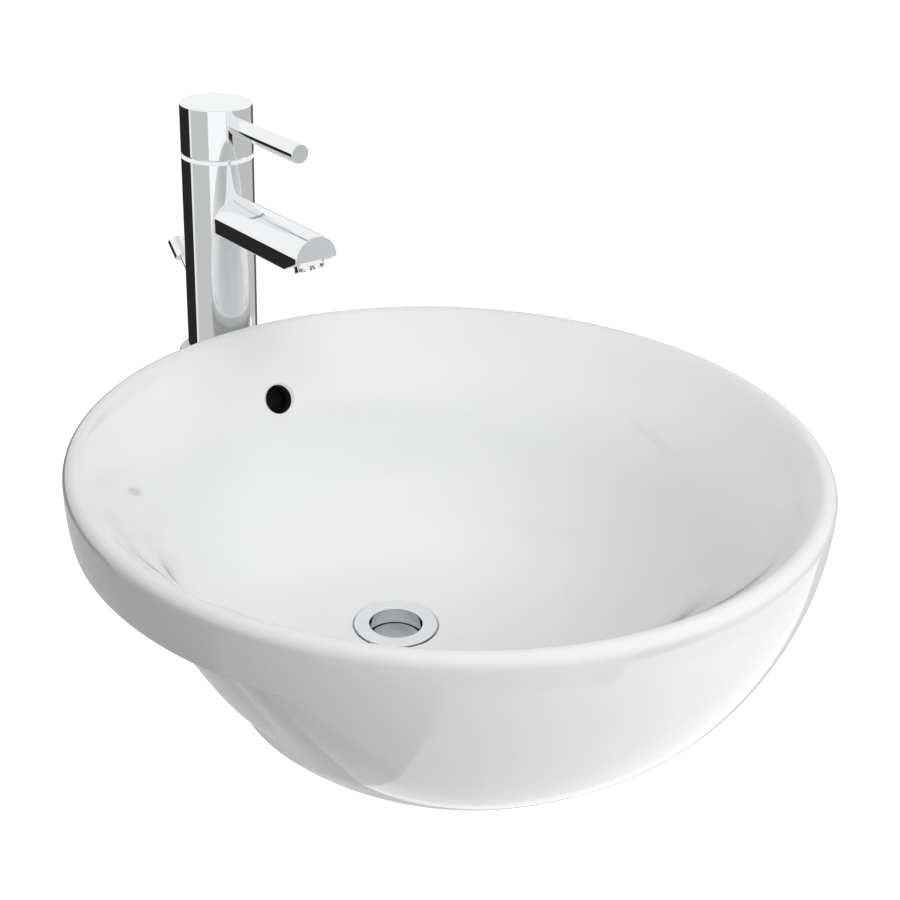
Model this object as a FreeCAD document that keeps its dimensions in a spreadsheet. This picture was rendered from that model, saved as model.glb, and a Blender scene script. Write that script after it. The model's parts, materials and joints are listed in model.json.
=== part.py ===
import FreeCAD, Part
import math
import os

import Sketcher

# Semi recessed basin with a single lever tap and a pop-up waste.
# Millimetres. +Z is up and +Y points from the front of the bowl to the tap.
# The origin lies on the bowl's axis, in the plane that rests on the worktop.

SIZES = {
    # rim and outer wall, a body of revolution about the bowl's axis
    "rim_radius": 250.0,
    "rim_height": 40.0,
    "rim_round": 7.4,
    "lip_slope": 38.0,
    "wall_arc": 206.0,
    "wall_turn": 31.3,
    "keel_arc": 129.0,
    "keel_slope": 22.0,
    "floor_thick": 15.8,
    # egg shaped plan of the part below the worktop
    "belly_angle": 58.0,
    "belly_taper": 0.31,
    "corner_radius": 101.0,
    "corner_growth": 0.4,
    "rear_radius": 222.0,
    "rear_taper": 0.4,
    "rear_curve": 0.0023,
    # inner bowl: radius and depth under the rim of the rings it passes through
    "lip_radius": 223.0,
    "lip_depth": 16.0,
    "shoulder_radius": 198.0,
    "shoulder_depth": 45.0,
    "waist_radius": 168.0,
    "waist_depth": 100.0,
    "hip_radius": 140.0,
    "hip_depth": 135.0,
    "foot_radius": 95.0,
    "foot_depth": 158.0,
    "floor_radius": 34.0,
    "bowl_depth": 168.2,
    "bowl_lean": 1.6,
    # overflow hole, its channel in the rear wall and the rib that holds it
    "overflow_radius": 10.0,
    "overflow_height": -5.0,
    "overflow_bevel": 1.6,
    "channel_skin": 9.0,
    "channel_gap": 12.0,
    "channel_width": 30.0,
    "rib_skin": 9.0,
    # waste boss under the bowl
    "waste_back": 55.0,
    "boss_radius": 48.0,
    "boss_drop": 24.0,
    "waste_bore": 23.0,
    # ledge behind the rim that carries the tap
    "tap_back": 282.4,
    "ledge_radius": 34.0,
    "ledge_root": 62.0,
    "ledge_lift": 1.5,
    "ledge_thick": 9.5,
    "ledge_blend": 28.0,
    "ledge_round": 3.5,
    "tap_hole": 17.5,
    # waste: flange with slotted tube, seals, nut and tail body
    "flange_radius": 30.2,
    "flange_thick": 2.0,
    "flange_proud": 1.2,
    "flange_edge": 0.8,
    "seat_clear": 1.0,
    "seal_thick": 1.5,
    "tube_radius": 21.3,
    "tube_bore": 19.2,
    "tube_length": 69.0,
    "throat_bevel": 0.8,
    "seat_drop": 17.0,
    "seat_bore": 16.6,
    "seat_thick": 3.0,
    "slot_width": 12.0,
    "slot_height": 14.0,
    "slot_drop": 21.0,
    "thread_clear": 0.1,
    "washer_thick": 3.0,
    "washer_radius": 33.0,
    "slip_thick": 1.5,
    "nut_height": 10.0,
    "nut_radius": 34.0,
    "socket_length": 12.0,
    "socket_wall": 3.2,
    "tail_chamber": 18.0,
    "chamber_depth": 26.0,
    "tail_taper": 12.0,
    "tail_radius": 16.0,
    "tail_wall": 2.0,
    "tail_length": 34.0,
    # plug
    "plug_radius": 18.4,
    "plug_thick": 3.0,
    "plug_rise": 1.2,
    "plug_seal_bore": 9.0,
    "plug_seal_thick": 1.5,
    "stem_radius": 5.0,
    "stem_tab": 9.0,
    "tab_width": 13.0,
    "tab_thick": 5.0,
    "fin_radius": 15.6,
    "fin_thick": 2.0,
    "fin_height": 40.0,
    "eye_clear": 1.3,
    # pivot rod that rocks in the tail body
    "ball_offset": 42.0,
    "ball_radius": 6.0,
    "rod_radius": 2.5,
    "rod_inner_end": 4.0,
    "rod_outer_end": 14.0,
    "pivot_below": 12.5,
    "port_radius": 11.5,
    "port_bore": 7.6,
    "port_mouth": 6.0,
    "ring_bore": 4.6,
    "ring_thick": 3.0,
    "cap_nut_radius": 15.0,
    "cap_nut_length": 17.0,
    "cap_nut_end": 3.5,
    "cap_nut_mouth": 5.4,
    # tap body
    "tap_radius": 26.8,
    "tap_bore": 23.5,
    "tap_base": 4.5,
    "body_edge": 0.8,
    "base_seal_thick": 1.5,
    "base_seal_bore": 17.6,
    "base_seal_radius": 25.8,
    "block_tall": 31.0,
    "seat_below": 29.4,
    "nut_room": 15.4,
    "socket_bore": 17.7,
    "nut_bore": 23.0,
    "inlet_offset": 8.5,
    "inlet_ahead": 5.0,
    "inlet_radius": 4.0,
    "inlet_depth": 12.0,
    "feed_radius": 2.8,
    "duct_radius": 4.5,
    "duct_offset": 9.0,
    # spout and aerator
    "spout_radius": 17.4,
    "spout_height": 120.7,
    "spout_below": 43.7,
    "spout_side": 8.5,
    "spout_reach": 127.8,
    "spout_cut": 28.6,
    "spigot_radius": 7.0,
    "spigot_depth": 13.0,
    "waterway_radius": 10.0,
    "waterway_end": 14.0,
    "aerator_radius": 10.8,
    "aerator_set": 11.4,
    "aerator_proud": 4.6,
    "aerator_inside": 6.4,
    "aerator_wall": 1.6,
    "aerator_shelf": 1.2,
    "notch_width": 3.4,
    "notch_depth": 2.2,
    "insert_thick": 3.0,
    # shank and its fixings under the ledge
    "shank_radius": 16.4,
    "shank_bore": 15.0,
    "shank_drop": 48.0,
    "collar_radius": 20.0,
    "collar_thick": 3.0,
    "gasket_thick": 2.5,
    "gasket_radius": 27.0,
    "plate_thick": 2.0,
    "shank_nut_radius": 26.0,
    "shank_nut_height": 10.0,
    # cartridge, dome ring and handle
    "pivot_drop": 11.3,
    "cartridge_radius": 17.5,
    "cartridge_bore": 15.0,
    "cartridge_floor": 5.0,
    "cartridge_tall": 22.0,
    "cartridge_lip": 13.0,
    "lip_thick": 2.2,
    "socket_clear": 0.3,
    "hub_radius": 7.0,
    "hub_width": 11.0,
    "spindle_radius": 4.5,
    "spindle_cover": 8.4,
    "ring_nut_bore": 11.5,
    "ring_nut_tall": 6.4,
    "dome_radius": 29.1,
    "dome_wall": 1.9,
    "dome_mouth": 18.0,
    "cap_clear": 0.3,
    "cap_gap": 2.4,
    "cap_tall": 37.6,
    "cap_edge": 0.9,
    "cap_foot_edge": 0.3,
    "lever_drop": 12.2,
    "lever_root": 6.2,
    "lever_tip": 7.0,
    "lever_reach": 108.7,
    "lever_recess": 2.0,
    "lever_edge": 0.6,
    "lever_spigot": 4.0,
    "lever_thread": 10.0,
    "grub_radius": 2.5,
    "grub_length": 8.0,
    # pull rod at the back of the tap, link and clamp
    "pull_exit": 38.0,
    "pull_tilt": 45.0,
    "pull_radius": 2.5,
    "pull_eye": 24.3,
    "knob_radius": 6.4,
    "knob_start": 42.0,
    "knob_length": 16.0,
    "knob_edge": 0.7,
    "bush_radius": 4.6,
    "bush_inside": 12.0,
    "bush_outside": 4.5,
    "eye_radius": 3.8,
    "eye_thick": 3.0,
    "fork_gap": 0.3,
    "fork_thick": 2.0,
    "fork_length": 6.0,
    "pin_radius": 1.5,
    "link_radius": 2.0,
    "clamp_side": 14.0,
    "clamp_height": 36.0,
    "clamp_grip": 16.0,
    "clamp_slot": 10.0,
    "clamp_slot_width": 6.4,
    "clamp_screw_radius": 2.0,
    "clamp_head_radius": 4.0,
    "clamp_head_length": 5.0,
    "running_clear": 0.06,
    "press_clear": 0.1,
    "seat_gap": 0.3,
}

doc = FreeCAD.newDocument("SemiRecessedBasin")
sheet = doc.addObject("Spreadsheet::Sheet", "Sizes")
for row, (alias, number) in enumerate(SIZES.items(), start=1):
    sheet.set("A%d" % row, alias)
    sheet.set("B%d" % row, repr(number))
    sheet.setAlias("B%d" % row, alias)
doc.recompute()


class Length:
    """A size that knows its value and the sheet expression that it comes from."""

    def __init__(self, text, value):
        self.text = text
        self.value = float(value)

    def __float__(self):
        return self.value

    def __neg__(self):
        return Length("(-%s)" % self.text, -self.value)

    def __add__(self, other):
        other = as_length(other)
        return Length("(%s + %s)" % (self.text, other.text), self.value + other.value)

    def __sub__(self, other):
        other = as_length(other)
        return Length("(%s - %s)" % (self.text, other.text), self.value - other.value)

    def __mul__(self, other):
        other = as_length(other)
        return Length("(%s * %s)" % (self.text, other.text), self.value * other.value)

    def __truediv__(self, other):
        other = as_length(other)
        return Length("(%s / %s)" % (self.text, other.text), self.value / other.value)

    def __radd__(self, other):
        return as_length(other) + self

    def __rsub__(self, other):
        return as_length(other) - self

    def __rmul__(self, other):
        return as_length(other) * self


def as_length(number):
    """The Length for a plain number, or the Length itself."""
    if isinstance(number, Length):
        return number
    return Length(repr(float(number)), number)


def sine(angle):
    """Sine of an angle in degrees, as a Length."""
    return Length("sin(%s * 1 deg)" % angle.text, math.sin(math.radians(angle.value)))


def cosine(angle):
    """Cosine of an angle in degrees, as a Length."""
    return Length("cos(%s * 1 deg)" % angle.text, math.cos(math.radians(angle.value)))


def root(square):
    """Square root of a Length."""
    return Length("sqrt(%s)" % square.text, math.sqrt(square.value))


class Sizes:
    """Every cell of the sheet as an attribute."""

    def __init__(self):
        for alias in SIZES:
            setattr(self, alias, Length("Sizes." + alias, sheet.get(alias)))


s = Sizes()
ZERO = as_length(0.0)

# Heights that follow from the sizes, over or under the worktop's face.
BODY_DEPTH = s.bowl_depth - s.rim_height + s.floor_thick
LEDGE_TOP = s.ledge_lift + s.ledge_thick
TAP_TOP = s.spout_height + s.spout_below
TILT_HEIGHT = TAP_TOP - s.pivot_drop
NUT_SEAT = TAP_TOP - s.nut_room
CARTRIDGE_SEAT = TAP_TOP - s.seat_below
BLOCK_BOTTOM = CARTRIDGE_SEAT - s.block_tall
CARTRIDGE_TOP = CARTRIDGE_SEAT + s.cartridge_tall
RING_NUT_TOP = CARTRIDGE_TOP + s.ring_nut_tall
CAP_BOTTOM = TAP_TOP + s.cap_gap
CAP_TOP = CAP_BOTTOM + s.cap_tall
SPINDLE_TOP = CAP_TOP - s.spindle_cover
pieces = {}


def bind(item, **properties):
    """Tie properties of an object to sheet expressions."""
    for name, length in properties.items():
        length = as_length(length)
        setattr(item, name, length.value)
        item.setExpression(name, length.text)


def place(item, at, rotation=None):
    """Put an object at a point of Lengths, turned by a fixed or a bound rotation."""
    base = FreeCAD.Vector(*[float(v) for v in at])
    item.Placement = FreeCAD.Placement(base, rotation or FreeCAD.Rotation())
    for axis, length in zip("xyz", at):
        item.setExpression("Placement.Base." + axis, as_length(length).text)


def keep(label, item):
    """Make an object a sub-part under its label."""
    item.Label = label
    pieces[label] = item
    return item


ALONG_Z = FreeCAD.Rotation()
ALONG_Y = FreeCAD.Rotation(FreeCAD.Vector(1, 0, 0), -90)
ALONG_X = FreeCAD.Rotation(FreeCAD.Vector(0, 1, 0), 90)


def cylinder(name, radius, height, at, rotation=ALONG_Z):
    """A round bar that starts at a point and runs along its turned axis."""
    item = doc.addObject("Part::Cylinder", name)
    bind(item, Radius=radius, Height=height)
    place(item, at, rotation)
    return item


def cone(name, radius_1, radius_2, height, at, rotation=ALONG_Z):
    """A tapered bar that starts at a point and runs along its turned axis."""
    item = doc.addObject("Part::Cone", name)
    bind(item, Radius1=radius_1, Radius2=radius_2, Height=height)
    place(item, at, rotation)
    return item


def sphere(name, radius, at):
    """A ball about a point."""
    item = doc.addObject("Part::Sphere", name)
    bind(item, Radius=radius)
    place(item, at)
    return item


def block(name, width, depth, height, centre, rotation=ALONG_Z):
    """A box centred in plan on a point, standing on it."""
    item = doc.addObject("Part::Box", name)
    bind(item, Length=width, Width=depth, Height=height)
    x, y, z = centre
    place(item, (x - width / 2, y - depth / 2, z), rotation)
    return item


def hexagon(name, radius, height, at, rotation=ALONG_Z):
    """A hexagonal prism that starts at a point."""
    item = doc.addObject("Part::Prism", name)
    item.Polygon = 6
    bind(item, Circumradius=radius, Height=height)
    place(item, at, rotation)
    return item


def joined(name, items):
    """The union of several objects."""
    item = doc.addObject("Part::MultiFuse", name)
    item.Shapes = items
    return item


def without(name, base, tools):
    """An object with tools cut away from it."""
    item = doc.addObject("Part::Cut", name)
    item.Base = base
    item.Tool = tools[0] if len(tools) == 1 else joined(name + "_tools", tools)
    return item


def shared(name, items):
    """What several objects have in common."""
    item = doc.addObject("Part::MultiCommon", name)
    item.Shapes = items
    return item


def turned(name, corners, at, rotation=ALONG_Z):
    """A lathe-turned piece: corners are radius and height pairs in its own frame."""
    body = doc.addObject("PartDesign::Body", name)
    sketch = body.newObject("Sketcher::SketchObject", name + "_profile")
    plane = [f for f in body.Origin.OriginFeatures if f.Role == "XZ_Plane"][0]
    sketch.AttachmentSupport = [(plane, "")]
    sketch.MapMode = "FlatFace"
    points = [FreeCAD.Vector(float(r), float(h), 0) for r, h in corners]
    count = len(points)
    for index in range(count):
        line = Part.LineSegment(points[index], points[(index + 1) % count])
        sketch.addGeometry(line, False)
    for index in range(count):
        after = (index + 1) % count
        sketch.addConstraint(Sketcher.Constraint("Coincident", index, 2, after, 1))
    for index, (radius, height) in enumerate(corners):
        for kind, axis, length in (("DistanceX", -2, radius), ("DistanceY", -1, height)):
            length = as_length(length)
            if length.text == ZERO.text:
                sketch.addConstraint(Sketcher.Constraint("PointOnObject", index, 1, axis))
                continue
            number = sketch.addConstraint(
                Sketcher.Constraint(kind, -1, 1, index, 1, length.value))
            sketch.setExpression("Constraints[%d]" % number, length.text)
    solid = body.newObject("PartDesign::Revolution", name + "_turned")
    solid.Profile = sketch
    solid.ReferenceAxis = (sketch, ["V_Axis"])
    solid.Angle = 360.0
    body.Tip = solid
    place(body, at, rotation)
    return body


def washer(name, bore, radius, thick, at, rotation=ALONG_Z):
    """A flat ring."""
    corners = [(bore, ZERO), (radius, ZERO), (radius, thick), (bore, thick)]
    return turned(name, corners, at, rotation)


# ---------------------------------------------------------------- ceramic body


def vector(x, y, z):
    """A vector from Lengths or numbers."""
    return FreeCAD.Vector(float(x), float(y), float(z))


def lean(depth):
    """How far the bowl's rings are set back at a depth under the rim."""
    share = min(depth / s.bowl_depth.value, 1.0)
    return s.waste_back.value * share ** s.bowl_lean.value


def drift(depth):
    """How far a ring of the inner bowl is set back, from nothing at the lip."""
    lip = lean(s.lip_depth.value)
    full = s.waste_back.value
    return full * (lean(depth) - lip) / (full - lip)


def front_reach(depth):
    """Radius of the front wall at a depth under the rim: two arcs, then a cone."""
    belt = s.rim_round.value
    turn = math.radians(s.wall_turn.value)
    outer = s.wall_arc.value
    keel = s.keel_arc.value
    radius_at_turn = s.rim_radius.value - outer * (1 - math.cos(turn))
    depth_at_turn = belt + outer * math.sin(turn)
    if depth <= depth_at_turn:
        drop = (depth - belt) / outer
        return s.rim_radius.value - outer * (1 - math.sqrt(1 - drop * drop))
    centre_radius = radius_at_turn - keel * math.cos(turn)
    centre_depth = depth_at_turn - keel * math.sin(turn)
    last = math.radians(90 - s.keel_slope.value)
    depth_at_cone = centre_depth + keel * math.sin(last)
    if depth <= depth_at_cone:
        drop = (depth - centre_depth) / keel
        return centre_radius + keel * math.sqrt(1 - drop * drop)
    radius_at_cone = centre_radius + keel * math.cos(last)
    return radius_at_cone - (depth - depth_at_cone) / math.tan(math.radians(s.keel_slope.value))


def egg_section(below):
    """Plan outline at a distance below the worktop: front arc, corners, flanks and rear arc."""
    depth = below + s.rim_height.value
    front = front_reach(depth)
    alpha = math.radians(max(s.belly_angle.value - s.belly_taper.value * below, 8.0))
    corner = min(s.corner_radius.value + s.corner_growth.value * below, 0.9 * front)
    rear = s.rear_radius.value - s.rear_taper.value * below - s.rear_curve.value * below ** 2
    back = lean(depth)
    centre_x = (front - corner) * math.sin(alpha)
    centre_y = -(front - corner) * math.cos(alpha)
    offset_x, offset_y = centre_x, centre_y - back
    distance = math.hypot(offset_x, offset_y)
    heading = math.atan2(offset_x, -offset_y)
    beta = heading + math.acos(min(max((rear - corner) / distance, -1.0), 1.0))
    height = -below

    def on_front(angle):
        return FreeCAD.Vector(front * math.sin(angle), -front * math.cos(angle), height)

    def on_corner(angle, side):
        return FreeCAD.Vector(side * (centre_x + corner * math.sin(angle)),
                              centre_y - corner * math.cos(angle), height)

    def on_rear(angle, side):
        return FreeCAD.Vector(side * rear * math.sin(angle), back - rear * math.cos(angle), height)

    middle = (alpha + beta) / 2
    edges = [
        Part.Arc(on_front(-alpha), on_front(0), on_front(alpha)).toShape(),
        Part.Arc(on_corner(alpha, 1), on_corner(middle, 1), on_corner(beta, 1)).toShape(),
        Part.LineSegment(on_corner(beta, 1), on_rear(beta, 1)).toShape(),
        Part.Arc(on_rear(beta, 1), on_rear(math.pi, 1), on_rear(beta, -1)).toShape(),
        Part.LineSegment(on_rear(beta, -1), on_corner(beta, -1)).toShape(),
        Part.Arc(on_corner(beta, -1), on_corner(middle, -1), on_corner(alpha, -1)).toShape(),
    ]
    return Part.Wire(edges)


def lower_body():
    """The part below the worktop, lofted through its egg shaped plans."""
    shares = [0.0, 0.12, 0.24, 0.36, 0.48, 0.59, 0.69, 0.78, 0.86, 0.93, 0.97, 1.0]
    sections = [egg_section(share * BODY_DEPTH.value) for share in shares]
    return Part.makeLoft(sections, True, True)


def rim_ring():
    """The plate above the worktop with its rounded rim, turned about the bowl's axis."""
    top = s.rim_height.value
    radius = s.rim_radius.value
    rounding = s.rim_round.value
    slope = math.radians(s.lip_slope.value)
    belt = FreeCAD.Vector(radius, 0, top - rounding)
    apex = FreeCAD.Vector(radius - rounding, 0, top)
    centre = FreeCAD.Vector(radius - rounding, 0, top - rounding)
    lip_start = centre + FreeCAD.Vector(-rounding * math.sin(slope), 0, rounding * math.cos(slope))
    lip_end = FreeCAD.Vector(s.lip_radius.value, 0, top - s.lip_depth.value)
    bend = FreeCAD.Vector(s.lip_radius.value + 7.0, 0, top - 0.6 * s.lip_depth.value + 1.2)
    foot = FreeCAD.Vector(front_reach(top), 0, 0)
    half = FreeCAD.Vector(front_reach((top + rounding) / 2), 0, top - (top + rounding) / 2)
    edges = [
        Part.LineSegment(FreeCAD.Vector(0, 0, 0), foot).toShape(),
        Part.Arc(foot, half, belt).toShape(),
        Part.Arc(belt, centre + (apex - centre + belt - centre).normalize() * rounding,
                 apex).toShape(),
        Part.Arc(apex, centre + FreeCAD.Vector(-rounding * math.sin(slope / 2), 0,
                                               rounding * math.cos(slope / 2)), lip_start).toShape(),
        Part.Arc(lip_start, bend, lip_end).toShape(),
        Part.LineSegment(lip_end, FreeCAD.Vector(0, 0, top - s.lip_depth.value)).toShape(),
        Part.LineSegment(FreeCAD.Vector(0, 0, top - s.lip_depth.value),
                         FreeCAD.Vector(0, 0, 0)).toShape(),
    ]
    face = Part.Face(Part.Wire(edges))
    return face.revolve(FreeCAD.Vector(0, 0, 0), FreeCAD.Vector(0, 0, 1), 360)


def bowl_curve():
    """Radius against depth of the inner bowl, through its named rings."""
    rings = [
        (s.lip_radius, s.lip_depth), (s.shoulder_radius, s.shoulder_depth),
        (s.waist_radius, s.waist_depth), (s.hip_radius, s.hip_depth),
        (s.foot_radius, s.foot_depth), (s.floor_radius, s.bowl_depth),
    ]
    curve = Part.BSplineCurve()
    curve.interpolate([FreeCAD.Vector(float(r), float(d), 0) for r, d in rings])
    return curve


def bowl_rings(count):
    """Radius and depth pairs along the inner bowl."""
    curve = bowl_curve()
    first, last = curve.FirstParameter, curve.LastParameter
    steps = [first + (last - first) * index / (count - 1) for index in range(count)]
    return [(curve.value(step).x, curve.value(step).y) for step in steps]


def bowl_hollow():
    """The inside of the bowl: round rings that drift back towards the waste."""
    sections = []
    for radius, depth in bowl_rings(15):
        back = drift(depth)
        middle = FreeCAD.Vector(0, back, s.rim_height.value - depth)
        circle = Part.Circle(middle, FreeCAD.Vector(0, 0, 1), radius)
        sections.append(Part.Wire([circle.toShape()]))
    return Part.makeLoft(sections, True, True)


def rear_strip(near, far, width, first_depth):
    """A strip behind the bowl's rear wall, between two distances from its surface."""
    inner, outer = [], []
    rings = [ring for ring in bowl_rings(25) if ring[1] >= first_depth]
    path = [(drift(d) + r, s.rim_height.value - d) for r, d in rings]
    path.append((s.waste_back.value + 0.6 * s.floor_radius.value, path[-1][1]))
    for index, (y, z) in enumerate(path):
        before = path[max(index - 1, 0)]
        after = path[min(index + 1, len(path) - 1)]
        along = FreeCAD.Vector(0, after[0] - before[0], after[1] - before[1]).normalize()
        away = FreeCAD.Vector(0, -along.z, along.y)
        inner.append(FreeCAD.Vector(0, y, z) + away * near)
        outer.append(FreeCAD.Vector(0, y, z) + away * far)
    edges = []
    for line in (inner, outer):
        curve = Part.BSplineCurve()
        curve.interpolate(line)
        edges.append(curve.toShape())
    edges.append(Part.LineSegment(inner[0], outer[0]).toShape())
    edges.append(Part.LineSegment(inner[-1], outer[-1]).toShape())
    face = Part.Face(Part.Wire(Part.__sortEdges__(edges)))
    face.translate(FreeCAD.Vector(-width / 2, 0, 0))
    return face.extrude(FreeCAD.Vector(width, 0, 0))


def tap_ledge():
    """The tongue behind the rim that carries the tap, with hollow blends to the wall."""
    core = front_reach(s.rim_height.value) - 2.0
    back, radius = s.tap_back.value, s.ledge_radius.value
    disc = Part.Face(Part.Wire([Part.Circle(vector(0, 0, 0), vector(0, 0, 1), core).toShape()]))
    head = Part.Face(Part.Wire([Part.Circle(vector(0, back, 0), vector(0, 0, 1), radius).toShape()]))
    root = s.ledge_root.value
    foot = core * 0.85
    slant = math.asin(min((root - radius) / (back - foot), 0.9))
    side = (radius * math.cos(slant), back + radius * math.sin(slant))
    corners = [vector(-root, foot, 0), vector(root, foot, 0), vector(side[0], side[1], 0),
               vector(-side[0], side[1], 0), vector(-root, foot, 0)]
    web = Part.Face(Part.makePolygon(corners))
    plan = disc.fuse([head, web]).removeSplitter().Faces[0]
    blend = s.ledge_blend.value
    plan = plan.makeOffset2D(blend).makeOffset2D(-blend).Faces[0]
    plan.translate(vector(0, 0, s.ledge_lift))
    slab = plan.extrude(vector(0, 0, s.ledge_thick))
    top_edges = [edge for edge in slab.Edges
                 if abs(edge.BoundBox.ZMin - LEDGE_TOP.value) < 0.01
                 and abs(edge.BoundBox.ZMax - LEDGE_TOP.value) < 0.01]
    return slab.makeFillet(s.ledge_round.value, top_edges)


def ceramic_body():
    """The one-piece glazed basin."""
    floor = s.rim_height.value - s.bowl_depth.value
    back = s.waste_back.value
    lip_height = s.rim_height.value - s.lip_depth.value
    rib_far = s.channel_skin.value + s.channel_gap.value + s.rib_skin.value
    rib = rear_strip(4.0, rib_far, s.channel_width.value + 2 * s.rib_skin.value,
                     s.lip_depth.value)
    boss_bottom = -BODY_DEPTH.value - s.boss_drop.value
    boss = Part.makeCylinder(s.boss_radius.value, floor - 8.0 - boss_bottom,
                             vector(0, back, boss_bottom))
    solid = rim_ring().fuse([lower_body(), rib, boss, tap_ledge()])
    hollow = bowl_hollow()
    channel = rear_strip(s.channel_skin.value,
                         s.channel_skin.value + s.channel_gap.value, s.channel_width.value,
                         s.rim_height.value - s.overflow_height.value - s.overflow_radius.value - 4)
    waste = Part.makeCylinder(s.waste_bore.value, s.bowl_depth.value + s.boss_drop.value,
                              vector(0, back, boss_bottom - 1.0))
    seat_depth = s.flange_thick.value + s.seal_thick.value - s.flange_proud.value
    seat = Part.makeCylinder(s.flange_radius.value + s.seat_clear.value, seat_depth + 5.0,
                             vector(0, back, floor - seat_depth))
    overflow = overflow_bore()
    tap_hole = Part.makeCylinder(s.tap_hole.value, LEDGE_TOP.value + 2.0,
                                 vector(0, s.tap_back, s.ledge_lift - 1.0))
    solid = solid.cut([hollow, channel, waste, seat, tap_hole] + overflow)
    return solid.removeSplitter()


def overflow_bore():
    """The overflow hole, level through the rear wall, with a bevel at its mouth."""
    depth = s.rim_height.value - s.overflow_height.value
    rings = bowl_rings(60)
    near = min(rings, key=lambda ring: abs(ring[1] - depth))
    wall = near[0] + drift(near[1])
    radius = s.overflow_radius.value
    reach = s.channel_skin.value + s.channel_gap.value
    height = s.overflow_height.value
    bevel = s.overflow_bevel.value
    bore = Part.makeCylinder(radius, reach + 12.0, vector(0, wall - 12.0, height), vector(0, 1, 0))
    mouth = Part.makeCone(radius + 4 * bevel, radius, 4 * bevel,
                          vector(0, wall - 2 * bevel, height), vector(0, 1, 0))
    return [bore, mouth]


basin = doc.addObject("Part::Feature", "basin_body")
basin.Shape = ceramic_body()
basin.Placement = FreeCAD.Placement()
keep("basin_body", basin)

# ------------------------------------------------------------------- the waste

FLOOR = s.rim_height - s.bowl_depth
FLANGE_TOP = FLOOR + s.flange_proud
FLANGE_UNDER = FLANGE_TOP - s.flange_thick
BOSS_BOTTOM = -BODY_DEPTH - s.boss_drop
TUBE_END = FLANGE_TOP - s.tube_length
PIVOT_HEIGHT = TUBE_END - s.pivot_below
BALL_BACK = s.waste_back + s.ball_offset
SEAT_HEIGHT = FLANGE_TOP - s.seat_drop


def at_waste(height):
    """A point on the axis of the waste."""
    return (ZERO, s.waste_back, height)


flange_profile = [
    (s.tube_bore + s.throat_bevel, ZERO),
    (s.flange_radius - s.flange_edge, ZERO),
    (s.flange_radius, -s.flange_edge),
    (s.flange_radius, -s.flange_thick),
    (s.tube_radius, -s.flange_thick),
    (s.tube_radius, -s.tube_length),
    (s.tube_bore, -s.tube_length),
    (s.tube_bore, -s.seat_drop - s.seat_thick),
    (s.seat_bore, -s.seat_drop - s.seat_thick),
    (s.seat_bore, -s.seat_drop),
    (s.tube_bore, -s.seat_drop),
    (s.tube_bore, -s.throat_bevel),
]
flange_turned = turned("flange_turned", flange_profile, at_waste(FLANGE_TOP))
slot_height = FLANGE_TOP - s.slot_drop - s.slot_height
slots = [
    block("slot_along_y", s.slot_width, s.tube_radius * 3, s.slot_height, at_waste(slot_height)),
    block("slot_along_x", s.tube_radius * 3, s.slot_width, s.slot_height, at_waste(slot_height)),
]
keep("waste_flange", without("waste_flange", flange_turned, slots))
keep("waste_flange_seal", washer("waste_flange_seal", s.tube_radius + s.press_clear,
                                 s.flange_radius - s.flange_edge, s.seal_thick,
                                 at_waste(FLANGE_UNDER - s.seal_thick)))

washer_under = BOSS_BOTTOM - s.washer_thick
slip_under = washer_under - s.slip_thick
nut_under = slip_under - s.nut_height
keep("waste_lower_seal", washer("waste_lower_seal", s.tube_radius + s.press_clear,
                                s.washer_radius, s.washer_thick, at_waste(washer_under)))
keep("waste_slip_ring", washer("waste_slip_ring", s.tube_radius + s.press_clear,
                               s.washer_radius - 1.0, s.slip_thick, at_waste(slip_under)))
nut_hex = hexagon("nut_hex", s.nut_radius, s.nut_height, at_waste(nut_under))
nut_bore = cylinder("nut_bore", s.tube_radius + s.thread_clear, s.nut_height,
                    at_waste(nut_under))
keep("waste_back_nut", without("waste_back_nut", nut_hex, [nut_bore]))

# The tail body: a socket on the tube, a chamber with a port for the rod, a plain tail.
socket_bore = s.tube_radius + s.thread_clear
socket_outside = socket_bore + s.socket_wall
tail_shoulder = -s.chamber_depth - s.tail_taper
tail_profile = [
    (socket_bore, s.socket_length),
    (socket_outside, s.socket_length),
    (socket_outside, -s.chamber_depth),
    (s.tail_radius, tail_shoulder),
    (s.tail_radius, tail_shoulder - s.tail_length),
    (s.tail_radius - s.tail_wall, tail_shoulder - s.tail_length),
    (s.tail_radius - s.tail_wall, tail_shoulder),
    (s.tail_chamber, -s.chamber_depth),
    (s.tail_chamber, ZERO),
    (socket_bore, ZERO),
]
tail_turned = turned("tail_turned", tail_profile, at_waste(TUBE_END))
port_start = s.waste_back + s.tail_chamber + 1.0
ball_exit = root(s.ball_radius * s.ball_radius - s.cap_nut_mouth * s.cap_nut_mouth)
ball_entry = root(s.ball_radius * s.ball_radius - s.ring_bore * s.ring_bore)
port_end = BALL_BACK + ball_exit + s.seat_gap
ring_back = BALL_BACK - ball_entry - s.seat_gap
ring_front = ring_back - s.ring_thick
port = cylinder("port", s.port_radius, port_end - port_start,
                (ZERO, port_start, PIVOT_HEIGHT), ALONG_Y)
port_bore = cylinder("port_bore", s.port_bore, port_end - ring_front,
                     (ZERO, ring_front, PIVOT_HEIGHT), ALONG_Y)
port_mouth = cylinder("port_mouth", s.port_mouth, s.ball_offset,
                      (ZERO, s.waste_back + s.ball_radius, PIVOT_HEIGHT), ALONG_Y)
tail_solid = joined("tail_solid", [tail_turned, port])
keep("waste_tail_body", without("waste_tail_body", tail_solid, [port_bore, port_mouth]))
keep("pivot_seat_ring", washer("pivot_seat_ring", s.ring_bore, s.port_bore - s.press_clear,
                               s.ring_thick, (ZERO, ring_front, PIVOT_HEIGHT), ALONG_Y))
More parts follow.
